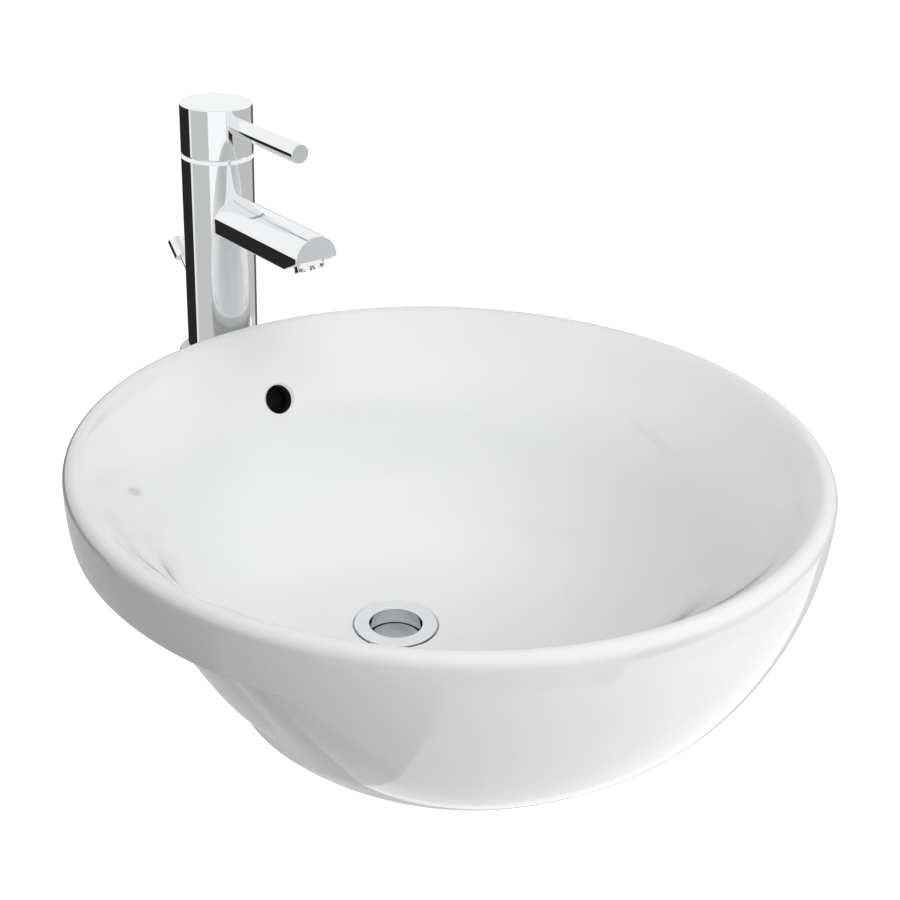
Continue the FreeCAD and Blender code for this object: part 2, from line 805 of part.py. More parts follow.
cap_nut_profile = [
    (s.port_radius + s.thread_clear, ZERO),
    (s.cap_nut_radius, ZERO),
    (s.cap_nut_radius, s.cap_nut_length),
    (s.cap_nut_mouth, s.cap_nut_length),
    (s.cap_nut_mouth, s.cap_nut_length - s.cap_nut_end),
    (s.port_radius + s.thread_clear, s.cap_nut_length - s.cap_nut_end),
]
cap_nut_front = port_end + s.cap_nut_end - s.cap_nut_length
keep("pivot_cap_nut", turned("pivot_cap_nut", cap_nut_profile,
                             (ZERO, cap_nut_front, PIVOT_HEIGHT), ALONG_Y))

# -------------------------------------------------------------------- the plug

plug_seal_under = SEAT_HEIGHT + s.seat_gap
plug_under = plug_seal_under + s.plug_seal_thick
plug_profile = [
    (ZERO, ZERO),
    (s.plug_radius, ZERO),
    (s.plug_radius, s.plug_thick),
    (ZERO, s.plug_thick + s.plug_rise),
]
keep("plug_cap", turned("plug_cap", plug_profile, at_waste(plug_under)))
keep("plug_seal", washer("plug_seal", s.plug_seal_bore, s.plug_radius - 0.4,
                         s.plug_seal_thick, at_waste(plug_seal_under)))
fin_top = SEAT_HEIGHT
tab_under = PIVOT_HEIGHT - s.stem_tab
tab_height = s.stem_tab * 2
stem_parts = [
    cylinder("stem_bar", s.stem_radius, plug_under - PIVOT_HEIGHT - s.stem_tab + 1.0,
             at_waste(PIVOT_HEIGHT + s.stem_tab - 1.0)),
    block("stem_tab_plate", s.tab_width, s.tab_thick, tab_height, at_waste(tab_under)),
    block("fin_across", s.fin_radius * 2, s.fin_thick, s.fin_height,
          at_waste(fin_top - s.fin_height)),
    block("fin_along", s.fin_thick, s.fin_radius * 2, s.fin_height,
          at_waste(fin_top - s.fin_height)),
]
stem_eye = cylinder("stem_eye", s.rod_radius + s.eye_clear, s.tab_thick * 2,
                    (ZERO, s.waste_back - s.tab_thick, PIVOT_HEIGHT), ALONG_Y)
keep("plug_stem", without("plug_stem", joined("stem_solid", stem_parts), [stem_eye]))

# ------------------------------------------------------- pull rod and linkage

tilt = s.pull_tilt
EXIT_BACK = s.tap_back + s.tap_radius


def on_pull_axis(distance):
    """A point on the pull rod's axis, measured from where it leaves the tap body."""
    return (ZERO, EXIT_BACK + distance * sine(tilt), s.pull_exit + distance * cosine(tilt))


ALONG_PULL = FreeCAD.Rotation(FreeCAD.Vector(1, 0, 0), -tilt.value)
EYE = on_pull_axis(-s.pull_eye)
CLAMP_BACK = EYE[1]

rod_start = s.waste_back - s.rod_inner_end
pivot_bar = cylinder("pivot_bar", s.rod_radius, CLAMP_BACK + s.rod_outer_end - rod_start,
                     (ZERO, rod_start, PIVOT_HEIGHT), ALONG_Y)
pivot_ball = sphere("pivot_ball", s.ball_radius, (ZERO, BALL_BACK, PIVOT_HEIGHT))
keep("pivot_rod", joined("pivot_rod", [pivot_bar, pivot_ball]))

# The pull rod: a bar with a fork at its lower end, which holds the pin of the link.
fork_half = s.eye_thick / 2 + s.fork_gap + s.fork_thick
fork_disc = cylinder("fork_disc", s.eye_radius, fork_half * 2,
                     (-fork_half, EYE[1], EYE[2]), ALONG_X)
fork_bar = cylinder("fork_bar", s.eye_radius - 0.5, s.fork_length + s.eye_radius, EYE, ALONG_PULL)
pull_bar = cylinder("pull_bar", s.pull_radius, s.pull_eye + s.knob_start + s.knob_length / 2,
                    EYE, ALONG_PULL)
gap_half = s.eye_thick / 2 + s.fork_gap
gap_radius = s.eye_radius + s.fork_gap * 2
fork_slot = cylinder("fork_slot", gap_radius, gap_half * 2, (-gap_half, EYE[1], EYE[2]), ALONG_X)
fork_hole = cylinder("fork_hole", s.pin_radius, fork_half * 2,
                     (-fork_half, EYE[1], EYE[2]), ALONG_X)
pull_solid = joined("pull_solid", [fork_disc, fork_bar, pull_bar])
keep("pull_rod", without("pull_rod", pull_solid, [fork_slot, fork_hole]))
keep("link_pin", cylinder("link_pin", s.pin_radius, fork_half * 2,
                          (-fork_half, EYE[1], EYE[2]), ALONG_X))

knob_profile = [
    (s.pull_radius + s.press_clear, ZERO),
    (s.knob_radius - s.knob_edge, ZERO),
    (s.knob_radius, s.knob_edge),
    (s.knob_radius, s.knob_length - s.knob_edge),
    (s.knob_radius - s.knob_edge, s.knob_length),
    (ZERO, s.knob_length),
    (ZERO, s.knob_length / 2),
    (s.pull_radius + s.press_clear, s.knob_length / 2),
]
keep("pull_knob", turned("pull_knob", knob_profile, on_pull_axis(s.knob_start), ALONG_PULL))
bush_length = s.bush_inside + s.bush_outside
keep("pull_bush", washer("pull_bush", s.pull_radius + s.running_clear, s.bush_radius,
                         bush_length, on_pull_axis(-s.bush_inside), ALONG_PULL))

# The link hangs from the pin down to a clamp on the pivot rod.
clamp_top = PIVOT_HEIGHT + s.clamp_slot / 2 + s.clamp_grip + 4.0
clamp_under = clamp_top - s.clamp_height
link_end = clamp_top - s.clamp_grip
eye_half = s.eye_thick / 2
link_eye = cylinder("link_eye", s.eye_radius, s.eye_thick, (-eye_half, EYE[1], EYE[2]), ALONG_X)
link_neck = block("link_neck", s.eye_thick, s.eye_radius, s.eye_radius * 3,
                  (ZERO, EYE[1], EYE[2] - s.eye_radius * 3))
link_bar = cylinder("link_bar", s.link_radius, EYE[2] - s.eye_radius * 2 - link_end,
                    (ZERO, EYE[1], link_end))
link_bore = cylinder("link_bore", s.pin_radius + s.running_clear, s.eye_thick,
                     (-eye_half, EYE[1], EYE[2]), ALONG_X)
keep("link_rod", without("link_rod", joined("link_solid", [link_eye, link_neck, link_bar]),
                         [link_bore]))

clamp_block = block("clamp_block", s.clamp_side, s.clamp_side, s.clamp_height,
                    (ZERO, CLAMP_BACK, clamp_under))
clamp_grip = cylinder("clamp_grip", s.link_radius + s.press_clear, s.clamp_grip,
                      (ZERO, CLAMP_BACK, link_end))
slot_under = PIVOT_HEIGHT - s.clamp_slot / 2
clamp_slot = block("clamp_slot", s.clamp_slot_width, s.clamp_side * 2, s.clamp_slot,
                   (ZERO, CLAMP_BACK, slot_under))
screw_height = clamp_top - s.clamp_grip / 2
screw_start = CLAMP_BACK + s.link_radius + s.press_clear
screw_hole = cylinder("screw_hole", s.clamp_screw_radius + s.thread_clear, s.clamp_side,
                      (ZERO, CLAMP_BACK, screw_height), ALONG_Y)
keep("rod_clamp", without("rod_clamp", clamp_block, [clamp_grip, clamp_slot, screw_hole]))
head_start = s.clamp_side / 2 - s.link_radius - s.press_clear + s.seat_gap
screw_profile = [
    (ZERO, ZERO),
    (s.clamp_screw_radius, ZERO),
    (s.clamp_screw_radius, head_start),
    (s.clamp_head_radius, head_start),
    (s.clamp_head_radius, head_start + s.clamp_head_length),
    (ZERO, head_start + s.clamp_head_length),
]
keep("clamp_screw", turned("clamp_screw", screw_profile,
                           (ZERO, screw_start, screw_height), ALONG_Y))

# ------------------------------------------------------------- tap and fixings

BODY_BOTTOM = LEDGE_TOP + s.base_seal_thick
BODY_FLOOR = BODY_BOTTOM + s.tap_base


def at_tap(height):
    """A point on the axis of the tap."""
    return (ZERO, s.tap_back, height)


keep("tap_base_seal", washer("tap_base_seal", s.base_seal_bore, s.base_seal_radius,
                             s.base_seal_thick, at_tap(LEDGE_TOP)))
body_profile = [
    (s.shank_radius + s.press_clear, ZERO),
    (s.tap_radius - s.body_edge, ZERO),
    (s.tap_radius, s.body_edge),
    (s.tap_radius, TAP_TOP - BODY_BOTTOM),
    (s.nut_bore, TAP_TOP - BODY_BOTTOM),
    (s.nut_bore, NUT_SEAT - BODY_BOTTOM),
    (s.socket_bore, NUT_SEAT - BODY_BOTTOM),
    (s.socket_bore, CARTRIDGE_SEAT - BODY_BOTTOM),
    (ZERO, CARTRIDGE_SEAT - BODY_BOTTOM),
    (ZERO, BLOCK_BOTTOM - BODY_BOTTOM),
    (s.tap_bore, BLOCK_BOTTOM - BODY_BOTTOM),
    (s.tap_bore, s.tap_base),
    (s.shank_radius + s.press_clear, s.tap_base),
]
body_turned = turned("body_turned", body_profile, at_tap(BODY_BOTTOM))
feed_length = CARTRIDGE_SEAT - BLOCK_BOTTOM
SPOUT_AXIS = s.spout_height
body_holes = []
for side, name in ((-1, "left"), (1, "right")):
    foot = (s.inlet_offset * side, s.tap_back - s.inlet_ahead, BLOCK_BOTTOM)
    body_holes.append(cylinder("inlet_" + name, s.inlet_radius, s.inlet_depth, foot))
    body_holes.append(cylinder("feed_" + name, s.feed_radius, feed_length, foot))
BODY_FRONT = s.tap_back - s.tap_radius
duct_back = s.tap_back - s.duct_offset
body_holes.append(cylinder("body_spigot_hole", s.spigot_radius + s.press_clear,
                           s.spigot_depth + 6.0, (ZERO, BODY_FRONT - 6.0, SPOUT_AXIS), ALONG_Y))
body_holes.append(cylinder("duct_level", s.duct_radius, duct_back - BODY_FRONT,
                           (ZERO, BODY_FRONT, SPOUT_AXIS), ALONG_Y))
body_holes.append(cylinder("duct_upright", s.duct_radius, CARTRIDGE_SEAT - SPOUT_AXIS,
                           (ZERO, duct_back, SPOUT_AXIS)))
body_holes.append(cylinder("bush_hole", s.bush_radius + s.press_clear, s.bush_inside * 2,
                           on_pull_axis(-s.bush_inside), ALONG_PULL))
keep("tap_body", without("tap_body", body_turned, body_holes))

shank_profile = [
    (s.shank_bore, s.collar_thick),
    (s.shank_bore, -s.shank_drop),
    (s.shank_radius, -s.shank_drop),
    (s.shank_radius, ZERO),
    (s.collar_radius, ZERO),
    (s.collar_radius, s.collar_thick),
]
keep("mounting_shank", turned("mounting_shank", shank_profile, at_tap(BODY_FLOOR)))
keep("shank_gasket", washer("shank_gasket", s.shank_radius + s.press_clear, s.gasket_radius,
                            s.gasket_thick, at_tap(s.ledge_lift - s.gasket_thick)))
plate_under = s.ledge_lift - s.gasket_thick - s.plate_thick
keep("shank_plate", washer("shank_plate", s.shank_radius + s.press_clear,
                           s.gasket_radius - 1.0, s.plate_thick, at_tap(plate_under)))
shank_nut_under = plate_under - s.shank_nut_height
shank_hex = hexagon("shank_hex", s.shank_nut_radius, s.shank_nut_height, at_tap(shank_nut_under))
shank_nut_bore = cylinder("shank_nut_bore", s.shank_radius + s.thread_clear,
                          s.shank_nut_height, at_tap(shank_nut_under))
keep("shank_nut", without("shank_nut", shank_hex, [shank_nut_bore]))

# The spout: half round on straight sides, cut slanting at its lower front.
SPOUT_FRONT = s.tap_back - s.spout_reach
spout_round = cylinder("spout_round", s.spout_radius, s.spout_reach,
                       (ZERO, SPOUT_FRONT, SPOUT_AXIS), ALONG_Y)
spout_box = block("spout_box", s.spout_radius * 2, s.spout_reach, s.spout_side,
                  (ZERO, s.tap_back - s.spout_reach / 2, SPOUT_AXIS - s.spout_side))
spout_keep = block("spout_keep", s.spout_radius * 2, s.spout_reach,
                   s.spout_radius + s.spout_side,
                   (ZERO, s.tap_back - s.spout_reach / 2, SPOUT_AXIS - s.spout_side))
spout_bar = shared("spout_bar", [joined("spout_sum", [spout_round, spout_box]), spout_keep])
spout_spigot = cylinder("spout_spigot", s.spigot_radius, s.spigot_depth + 6.0,
                        (ZERO, BODY_FRONT - 6.0, SPOUT_AXIS), ALONG_Y)
spout_saddle = cylinder("spout_saddle", s.tap_radius + s.press_clear, s.spout_reach,
                        at_tap(SPOUT_AXIS - s.spout_reach / 2))
cut = s.spout_cut
cut_slab = doc.addObject("Part::Box", "spout_slant")
bind(cut_slab, Length=s.spout_radius * 4, Width=s.spout_reach, Height=s.spout_radius * 2)
slab_lift = s.spout_radius * 2
place(cut_slab, (-s.spout_radius * 2, SPOUT_FRONT - slab_lift * sine(cut),
                 SPOUT_AXIS - slab_lift * cosine(cut)),
      FreeCAD.Rotation(FreeCAD.Vector(1, 0, 0), -cut.value))
ALONG_STREAM = FreeCAD.Rotation(FreeCAD.Vector(1, 0, 0), 180.0 - cut.value)


def on_stream(distance):
    """A point on the aerator's axis, outwards from the slanting face of the spout."""
    back = SPOUT_FRONT + s.aerator_set * cosine(cut) - distance * sine(cut)
    height = SPOUT_AXIS - s.aerator_set * sine(cut) - distance * cosine(cut)
    return (ZERO, back, height)


spout_body = without("spout_body", spout_bar, [spout_saddle, cut_slab])
spout_solid = joined("spout_solid", [spout_body, spout_spigot])
waterway_start = SPOUT_FRONT + s.waterway_end
waterway = cylinder("waterway", s.waterway_radius, s.spout_reach - s.tap_radius
                    - s.waterway_end - 6.0, (ZERO, waterway_start, SPOUT_AXIS + 2.0), ALONG_Y)
spigot_bore = cylinder("spigot_bore", s.duct_radius, s.spout_reach,
                       (ZERO, waterway_start + 6.0, SPOUT_AXIS), ALONG_Y)
aerator_hole = cylinder("aerator_hole", s.aerator_radius + s.thread_clear,
                        s.aerator_inside + s.seat_gap + s.aerator_proud * 2,
                        on_stream(-s.aerator_inside - s.seat_gap), ALONG_STREAM)
aerator_way = cylinder("aerator_way", s.aerator_radius - s.aerator_wall, s.aerator_inside * 2,
                       on_stream(-s.aerator_inside * 2), ALONG_STREAM)
keep("spout", without("spout", spout_solid, [waterway, spigot_bore, aerator_hole, aerator_way]))

aerator_bore = s.aerator_radius - s.aerator_wall
housing_length = s.aerator_inside + s.aerator_proud
housing_profile = [
    (aerator_bore - s.aerator_shelf, housing_length - s.insert_thick - s.aerator_shelf),
    (aerator_bore, housing_length - s.insert_thick - s.aerator_shelf),
    (aerator_bore, ZERO),
    (s.aerator_radius, ZERO),
    (s.aerator_radius, housing_length),
    (aerator_bore, housing_length),
    (aerator_bore, housing_length - s.insert_thick),
    (aerator_bore - s.aerator_shelf, housing_length - s.insert_thick),
]
housing_turned = turned("housing_turned", housing_profile, on_stream(-s.aerator_inside),
                        ALONG_STREAM)
notches = []
for number in range(4):
    notch = doc.addObject("Part::Box", "notch_%d" % number)
    bind(notch, Length=s.aerator_radius * 2, Width=s.notch_width, Height=s.notch_depth * 2)
    spin = FreeCAD.Rotation(FreeCAD.Vector(0, 0, 1), 22.5 + 45.0 * number)
    pose = FreeCAD.Placement(vector(*on_stream(s.aerator_proud - s.notch_depth)),
                             ALONG_STREAM * spin)
    shift = FreeCAD.Placement(vector(-s.aerator_radius.value, -s.notch_width.value / 2, 0),
                              FreeCAD.Rotation())
    notch.Placement = pose * shift
    notches.append(notch)
keep("aerator_housing", without("aerator_housing", housing_turned, notches))
insert_start = housing_length - s.insert_thick - s.aerator_inside - s.aerator_shelf * 2
insert_disc = cylinder("insert_disc", aerator_bore - s.press_clear, s.insert_thick,
                       on_stream(insert_start - s.insert_thick + s.aerator_shelf), ALONG_STREAM)
keep("aerator_insert", insert_disc)

# ---------------------------------------------------------- cartridge and handle

cartridge_profile = [
    (ZERO, ZERO),
    (s.cartridge_radius, ZERO),
    (s.cartridge_radius, s.cartridge_tall),
    (s.cartridge_lip, s.cartridge_tall),
    (s.cartridge_lip, s.cartridge_tall - s.lip_thick),
    (s.cartridge_bore, s.cartridge_tall - s.lip_thick),
    (s.cartridge_bore, s.cartridge_floor),
    (ZERO, s.cartridge_floor),
]
cartridge_turned = turned("cartridge_turned", cartridge_profile, at_tap(CARTRIDGE_SEAT))
cartridge_ports = [
    cylinder("port_left", s.feed_radius, s.cartridge_floor,
             (-s.inlet_offset, s.tap_back - s.inlet_ahead, CARTRIDGE_SEAT)),
    cylinder("port_right", s.feed_radius, s.cartridge_floor,
             (s.inlet_offset, s.tap_back - s.inlet_ahead, CARTRIDGE_SEAT)),
    cylinder("port_outlet", s.duct_radius, s.cartridge_floor,
             (ZERO, duct_back, CARTRIDGE_SEAT)),
]
keep("cartridge_body", without("cartridge_body", cartridge_turned, cartridge_ports))

run = s.running_clear
carrier_under = CARTRIDGE_SEAT + s.cartridge_floor + run
shoulder = CARTRIDGE_TOP - s.lip_thick - run - carrier_under
carrier_tall = CARTRIDGE_TOP - run - carrier_under
carrier_profile = [
    (ZERO, ZERO),
    (s.cartridge_bore - run, ZERO),
    (s.cartridge_bore - run, shoulder),
    (s.cartridge_lip - run, shoulder),
    (s.cartridge_lip - run, carrier_tall),
    (ZERO, carrier_tall),
]
carrier_turned = turned("carrier_turned", carrier_profile, at_tap(carrier_under))
socket_half = s.hub_width / 2 + s.socket_clear
socket_radius = s.hub_radius + s.socket_clear
carrier_socket = cylinder("carrier_socket", socket_radius, socket_half * 2,
                          (-socket_half, s.tap_back, TILT_HEIGHT), ALONG_X)
carrier_slot = block("carrier_slot", socket_half * 2, socket_radius * 2, s.hub_radius,
                     at_tap(TILT_HEIGHT))
pin_half = s.cartridge_lip - 1.5
carrier_pin_hole = cylinder("carrier_pin_hole", s.pin_radius, pin_half * 2,
                            (-pin_half, s.tap_back, TILT_HEIGHT), ALONG_X)
keep("cartridge_carrier", without("cartridge_carrier", carrier_turned,
                                  [carrier_socket, carrier_slot, carrier_pin_hole]))
keep("spindle_pin", cylinder("spindle_pin", s.pin_radius, pin_half * 2,
                             (-pin_half, s.tap_back, TILT_HEIGHT), ALONG_X))
hub_half = s.hub_width / 2
spindle_hub = cylinder("spindle_hub", s.hub_radius, s.hub_width,
                       (-hub_half, s.tap_back, TILT_HEIGHT), ALONG_X)
spindle_bar = cylinder("spindle_bar", s.spindle_radius, SPINDLE_TOP - TILT_HEIGHT,
                       at_tap(TILT_HEIGHT))
spindle_hole = cylinder("spindle_hole", s.pin_radius + run, s.hub_width,
                        (-hub_half, s.tap_back, TILT_HEIGHT), ALONG_X)
keep("cartridge_spindle", without("cartridge_spindle",
                                  joined("spindle_solid", [spindle_hub, spindle_bar]),
                                  [spindle_hole]))
keep("cartridge_nut", washer("cartridge_nut", s.ring_nut_bore, s.nut_bore - s.thread_clear,
                             RING_NUT_TOP - CARTRIDGE_TOP, at_tap(CARTRIDGE_TOP)))



def arc_corner(radius, height):
    """The corner of a turned profile that lies on a circle about the pivot."""
    return (root(radius * radius - height * height), height)


# The dome ring follows a circle about the pivot, so that the cap can tip over it.
dome_low = TAP_TOP - TILT_HEIGHT
dome_high = root(s.dome_radius * s.dome_radius - s.dome_mouth * s.dome_mouth)
dome_step = (dome_high - dome_low) / 5
dome_inside = s.dome_radius - s.dome_wall
inside_high = root(dome_inside * dome_inside - s.dome_mouth * s.dome_mouth)
foot_outside = s.nut_bore - s.press_clear
foot_inside = foot_outside - s.dome_wall
foot_height = RING_NUT_TOP - TILT_HEIGHT
dome_profile = [arc_corner(s.dome_radius, dome_low + dome_step * step) for step in range(6)]
inside_low = root(dome_inside * dome_inside - foot_inside * foot_inside)
dome_profile += [
    (s.dome_mouth, inside_high),
    arc_corner(dome_inside, (inside_high + inside_low) / 2),
    (foot_inside, inside_low),
    (foot_inside, foot_height),
    (foot_outside, foot_height),
    (foot_outside, dome_low),
]
keep("dome_ring", turned("dome_ring", dome_profile, at_tap(TILT_HEIGHT)))

cap_low = CAP_BOTTOM - TILT_HEIGHT
cap_hollow = s.dome_radius + s.cap_clear
hollow_step = (cap_hollow - cap_low) / 8
cap_profile = [
    (s.tap_radius - s.cap_foot_edge, cap_low),
    (s.tap_radius, cap_low + s.cap_foot_edge),
    (s.tap_radius, cap_low + s.cap_tall - s.cap_edge),
    (s.tap_radius - s.cap_edge, cap_low + s.cap_tall),
    (ZERO, cap_low + s.cap_tall),
    (ZERO, cap_hollow),
]
cap_profile += [arc_corner(cap_hollow, cap_hollow - hollow_step * share)
                for share in (0.4, 1.4, 3.0, 5.2, 8.0)]
cap_turned = turned("cap_turned", cap_profile, at_tap(TILT_HEIGHT))
LEVER_HEIGHT = CAP_TOP - s.lever_drop
lever_face = BODY_FRONT + s.lever_recess
grub_start = s.tap_back + s.spindle_radius + s.press_clear
cap_holes = [
    cylinder("cap_socket", s.spindle_radius + s.press_clear,
             SPINDLE_TOP + s.seat_gap - TILT_HEIGHT, at_tap(TILT_HEIGHT)),
    cylinder("lever_recess", s.lever_root + s.press_clear, s.lever_recess + 1.0,
             (ZERO, BODY_FRONT - 1.0, LEVER_HEIGHT), ALONG_Y),
    cylinder("lever_thread", s.lever_spigot + s.thread_clear, s.lever_thread + s.seat_gap,
             (ZERO, lever_face, LEVER_HEIGHT), ALONG_Y),
    cylinder("grub_hole", s.grub_radius + s.thread_clear, s.tap_radius,
             (ZERO, grub_start, LEVER_HEIGHT), ALONG_Y),
]
keep("handle_cap", without("handle_cap", cap_turned, cap_holes))
TOWARDS_FRONT = FreeCAD.Rotation(FreeCAD.Vector(1, 0, 0), 90)
lever_length = s.lever_reach - s.tap_radius + s.lever_recess
lever_profile = [
    (ZERO, -s.lever_thread),
    (s.lever_spigot, -s.lever_thread),
    (s.lever_spigot, ZERO),
    (s.lever_root, ZERO),
    (s.lever_tip, lever_length - s.lever_edge),
    (s.lever_tip - s.lever_edge, lever_length),
    (ZERO, lever_length),
]
keep("lever", turned("lever", lever_profile, (ZERO, lever_face, LEVER_HEIGHT), TOWARDS_FRONT))
keep("handle_grub_screw", cylinder("handle_grub_screw", s.grub_radius, s.grub_length,
                                   (ZERO, grub_start, LEVER_HEIGHT), ALONG_Y))

# ------------------------------------------------------------------- delivery

doc.recompute()
for item in doc.Objects:
    if "Invalid" in item.State or "Error" in item.State:
        raise RuntimeError("object failed: %s %s" % (item.Label, item.State))
for label, item in pieces.items():
    if item.Shape.isNull() or not item.Shape.isValid():
        raise RuntimeError("shape failed: %s" % label)
    if len(item.Shape.Solids) != 1:
        raise RuntimeError("not one solid: %s has %d" % (label, len(item.Shape.Solids)))
os.makedirs("parts", exist_ok=True)
for label, item in pieces.items():
    item.Shape.exportStep(os.path.join("parts", label + ".step"))
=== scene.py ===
import json
import logging
import math
from dataclasses import dataclass
from enum import Enum
from typing import Dict, List, Sequence, Tuple, Type

import bmesh
import bpy
import numpy as np
from mathutils import Matrix, Vector

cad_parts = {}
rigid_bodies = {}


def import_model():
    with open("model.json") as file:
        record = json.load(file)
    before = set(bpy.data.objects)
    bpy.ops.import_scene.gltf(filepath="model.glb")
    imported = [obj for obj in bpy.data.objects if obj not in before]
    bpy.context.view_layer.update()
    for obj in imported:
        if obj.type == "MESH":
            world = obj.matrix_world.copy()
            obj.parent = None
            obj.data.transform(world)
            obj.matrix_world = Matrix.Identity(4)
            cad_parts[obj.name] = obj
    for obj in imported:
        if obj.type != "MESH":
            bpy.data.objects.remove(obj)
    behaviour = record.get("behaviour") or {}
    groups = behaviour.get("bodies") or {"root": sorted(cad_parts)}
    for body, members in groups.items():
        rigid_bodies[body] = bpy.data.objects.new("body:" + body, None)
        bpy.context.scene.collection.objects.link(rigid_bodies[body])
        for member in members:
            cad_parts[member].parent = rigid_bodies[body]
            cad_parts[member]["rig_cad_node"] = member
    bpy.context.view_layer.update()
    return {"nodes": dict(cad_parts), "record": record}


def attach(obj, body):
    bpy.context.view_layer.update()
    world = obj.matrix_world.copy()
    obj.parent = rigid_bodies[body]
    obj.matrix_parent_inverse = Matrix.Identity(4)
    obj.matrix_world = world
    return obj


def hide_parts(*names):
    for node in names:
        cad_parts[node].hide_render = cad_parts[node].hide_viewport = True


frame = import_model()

MM = 0.001
# Metres within which points count as one, and numbers as equal.
MERGE = 1e-7
LINE = 1e-6
# Segments round small, middling and wide turned pieces.
SMALL, ROUND, WIDE = 96, 128, 192
log = logging.getLogger("basin")

Pair = Tuple[float, float]
Point = Tuple[float, float, float]


class Slot(Enum):
    """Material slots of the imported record."""

    GLAZE = "glaze"
    CHROME = "chrome"
    RUBBER = "rubber"
    BRASS = "brass"
    PLASTIC = "plastic"
    STEEL = "steel"


class Body(Enum):
    """Bodies that the pieces ride on."""

    FIXED = "fixed"
    HANDLE = "handle"
    PULL = "pull"
    PLUG = "plug"


# ---------------------------------------------------------------- finishes


def empty_tree(owner: bpy.types.ID) -> bpy.types.NodeTree:
    """Give a material or a world an empty node tree.

    Args:
        owner: The material or the world.

    Returns:
        The tree.
    """
    owner.use_nodes = True
    owner.node_tree.nodes.clear()
    return owner.node_tree


def fed(tree: bpy.types.NodeTree, kind: str, *sources: bpy.types.NodeSocket) -> bpy.types.Node:
    """Add a node and feed its first inputs.

    Args:
        tree: Tree that gets the node.
        kind: Node class name.
        sources: Sockets for its inputs, in their order.

    Returns:
        The new node.
    """
    node = tree.nodes.new(kind)
    for index, source in enumerate(sources):
        tree.links.new(source, node.inputs[index])
    return node


class NodeSheet:
    """A material's node tree with short ways to add and join nodes."""

    def __init__(self, name: str) -> None:
        """Start an empty material.

        Args:
            name: Name of the material.
        """
        self.material = bpy.data.materials.new(name)
        self.tree = empty_tree(self.material)
        self.shader = self.add("ShaderNodeBsdfPrincipled")
        output = self.add("ShaderNodeOutputMaterial")
        self.join(self.shader, "BSDF", output, "Surface")
        self.place = self.add("ShaderNodeTexCoord")

    def add(self, kind: str) -> bpy.types.Node:
        """Add a node.

        Args:
            kind: Node class name.

        Returns:
            The new node.
        """
        return self.tree.nodes.new(kind)

    def join(self, start: bpy.types.Node, out: str, end: bpy.types.Node, into: object) -> None:
        """Link an output to an input.

        Args:
            start: Node that gives the value.
            out: Name of its output.
            end: Node that takes the value.
            into: Name or number of its input.
        """
        self.tree.links.new(start.outputs[out], end.inputs[into])

    def set(self, **values: object) -> None:
        """Set constant inputs of the shader.

        Args:
            values: Input names with underscores for spaces, and their values.
        """
        for name, value in values.items():
            self.shader.inputs[name.replace("_", " ")].default_value = value

    def noise(self, scale: float, detail: float = 2.0,
              stretch: Point = (1, 1, 1)) -> bpy.types.Node:
        """Add noise in object coordinates.

        Args:
            scale: Grains per metre.
            detail: Octaves of the noise.
            stretch: Scale along each axis before the noise.

        Returns:
            The noise node.
        """
        mapping = self.add("ShaderNodeMapping")
        mapping.inputs["Scale"].default_value = stretch
        noise = self.add("ShaderNodeTexNoise")
        noise.inputs["Scale"].default_value = scale
        noise.inputs["Detail"].default_value = detail
        self.join(self.place, "Object", mapping, "Vector")
        self.join(mapping, "Vector", noise, "Vector")
        return noise

    def roughen(self, source: bpy.types.Node, low: float, high: float) -> None:
        """Let a texture vary the roughness between two values.

        Args:
            source: Texture node with a Fac output.
            low: Roughness at 0.
            high: Roughness at 1.
        """
        span = self.add("ShaderNodeMapRange")
        span.inputs["To Min"].default_value = low
        span.inputs["To Max"].default_value = high
        self.join(source, "Fac", span, "Value")
        self.join(span, "Result", self.shader, "Roughness")

    def tint(self, source: bpy.types.Node, first: Point, second: Point) -> None:
        """Let a texture mix two base colours.

        Args:
            source: Texture node with a Fac output.
            first: Colour at 0.
            second: Colour at 1.
        """
        ramp = self.add("ShaderNodeValToRGB")
        ramp.color_ramp.elements[0].color = (*first, 1)
        ramp.color_ramp.elements[1].color = (*second, 1)
        self.join(source, "Fac", ramp, "Fac")
        self.join(ramp, "Color", self.shader, "Base Color")

    def bump(self, source: bpy.types.Node, strength: float, height: float) -> None:
        """Let a texture raise the surface.

        Args:
            source: Texture node with a Fac output.
            strength: Share of the height that shows.
            height: Height of the relief in metres.
        """
        bump = self.add("ShaderNodeBump")
        bump.inputs["Strength"].default_value = strength
        bump.inputs["Distance"].default_value = height
        self.join(source, "Fac", bump, "Height")
        self.join(bump, "Normal", self.shader, "Normal")


@dataclass(frozen=True)
class Glaze:
    """White glaze over the fired body."""

    light: Point = (0.90, 0.905, 0.91)
    dark: Point = (0.87, 0.875, 0.88)
    gloss_low: float = 0.05
    gloss_high: float = 0.09
    cloud_grain: float = 9.0
    gloss_grain: float = 60.0
    wave_grain: float = 25.0
    wave_share: float = 0.05
    wave_height: float = 0.0004
    bend: float = 1.5
    coat: float = 0.4
    coat_rough: float = 0.03

    def build(self, name: str) -> bpy.types.Material:
        """Make the material.

        Args:
            name: Name of the material.

        Returns:
            The material.
        """
        sheet = NodeSheet(name)
        sheet.tint(sheet.noise(self.cloud_grain, 3.0), self.dark, self.light)
        sheet.roughen(sheet.noise(self.gloss_grain), self.gloss_low, self.gloss_high)
        sheet.bump(sheet.noise(self.wave_grain, 1.0), self.wave_share, self.wave_height)
        sheet.set(IOR=self.bend, Coat_Weight=self.coat, Coat_Roughness=self.coat_rough)
        return sheet.material


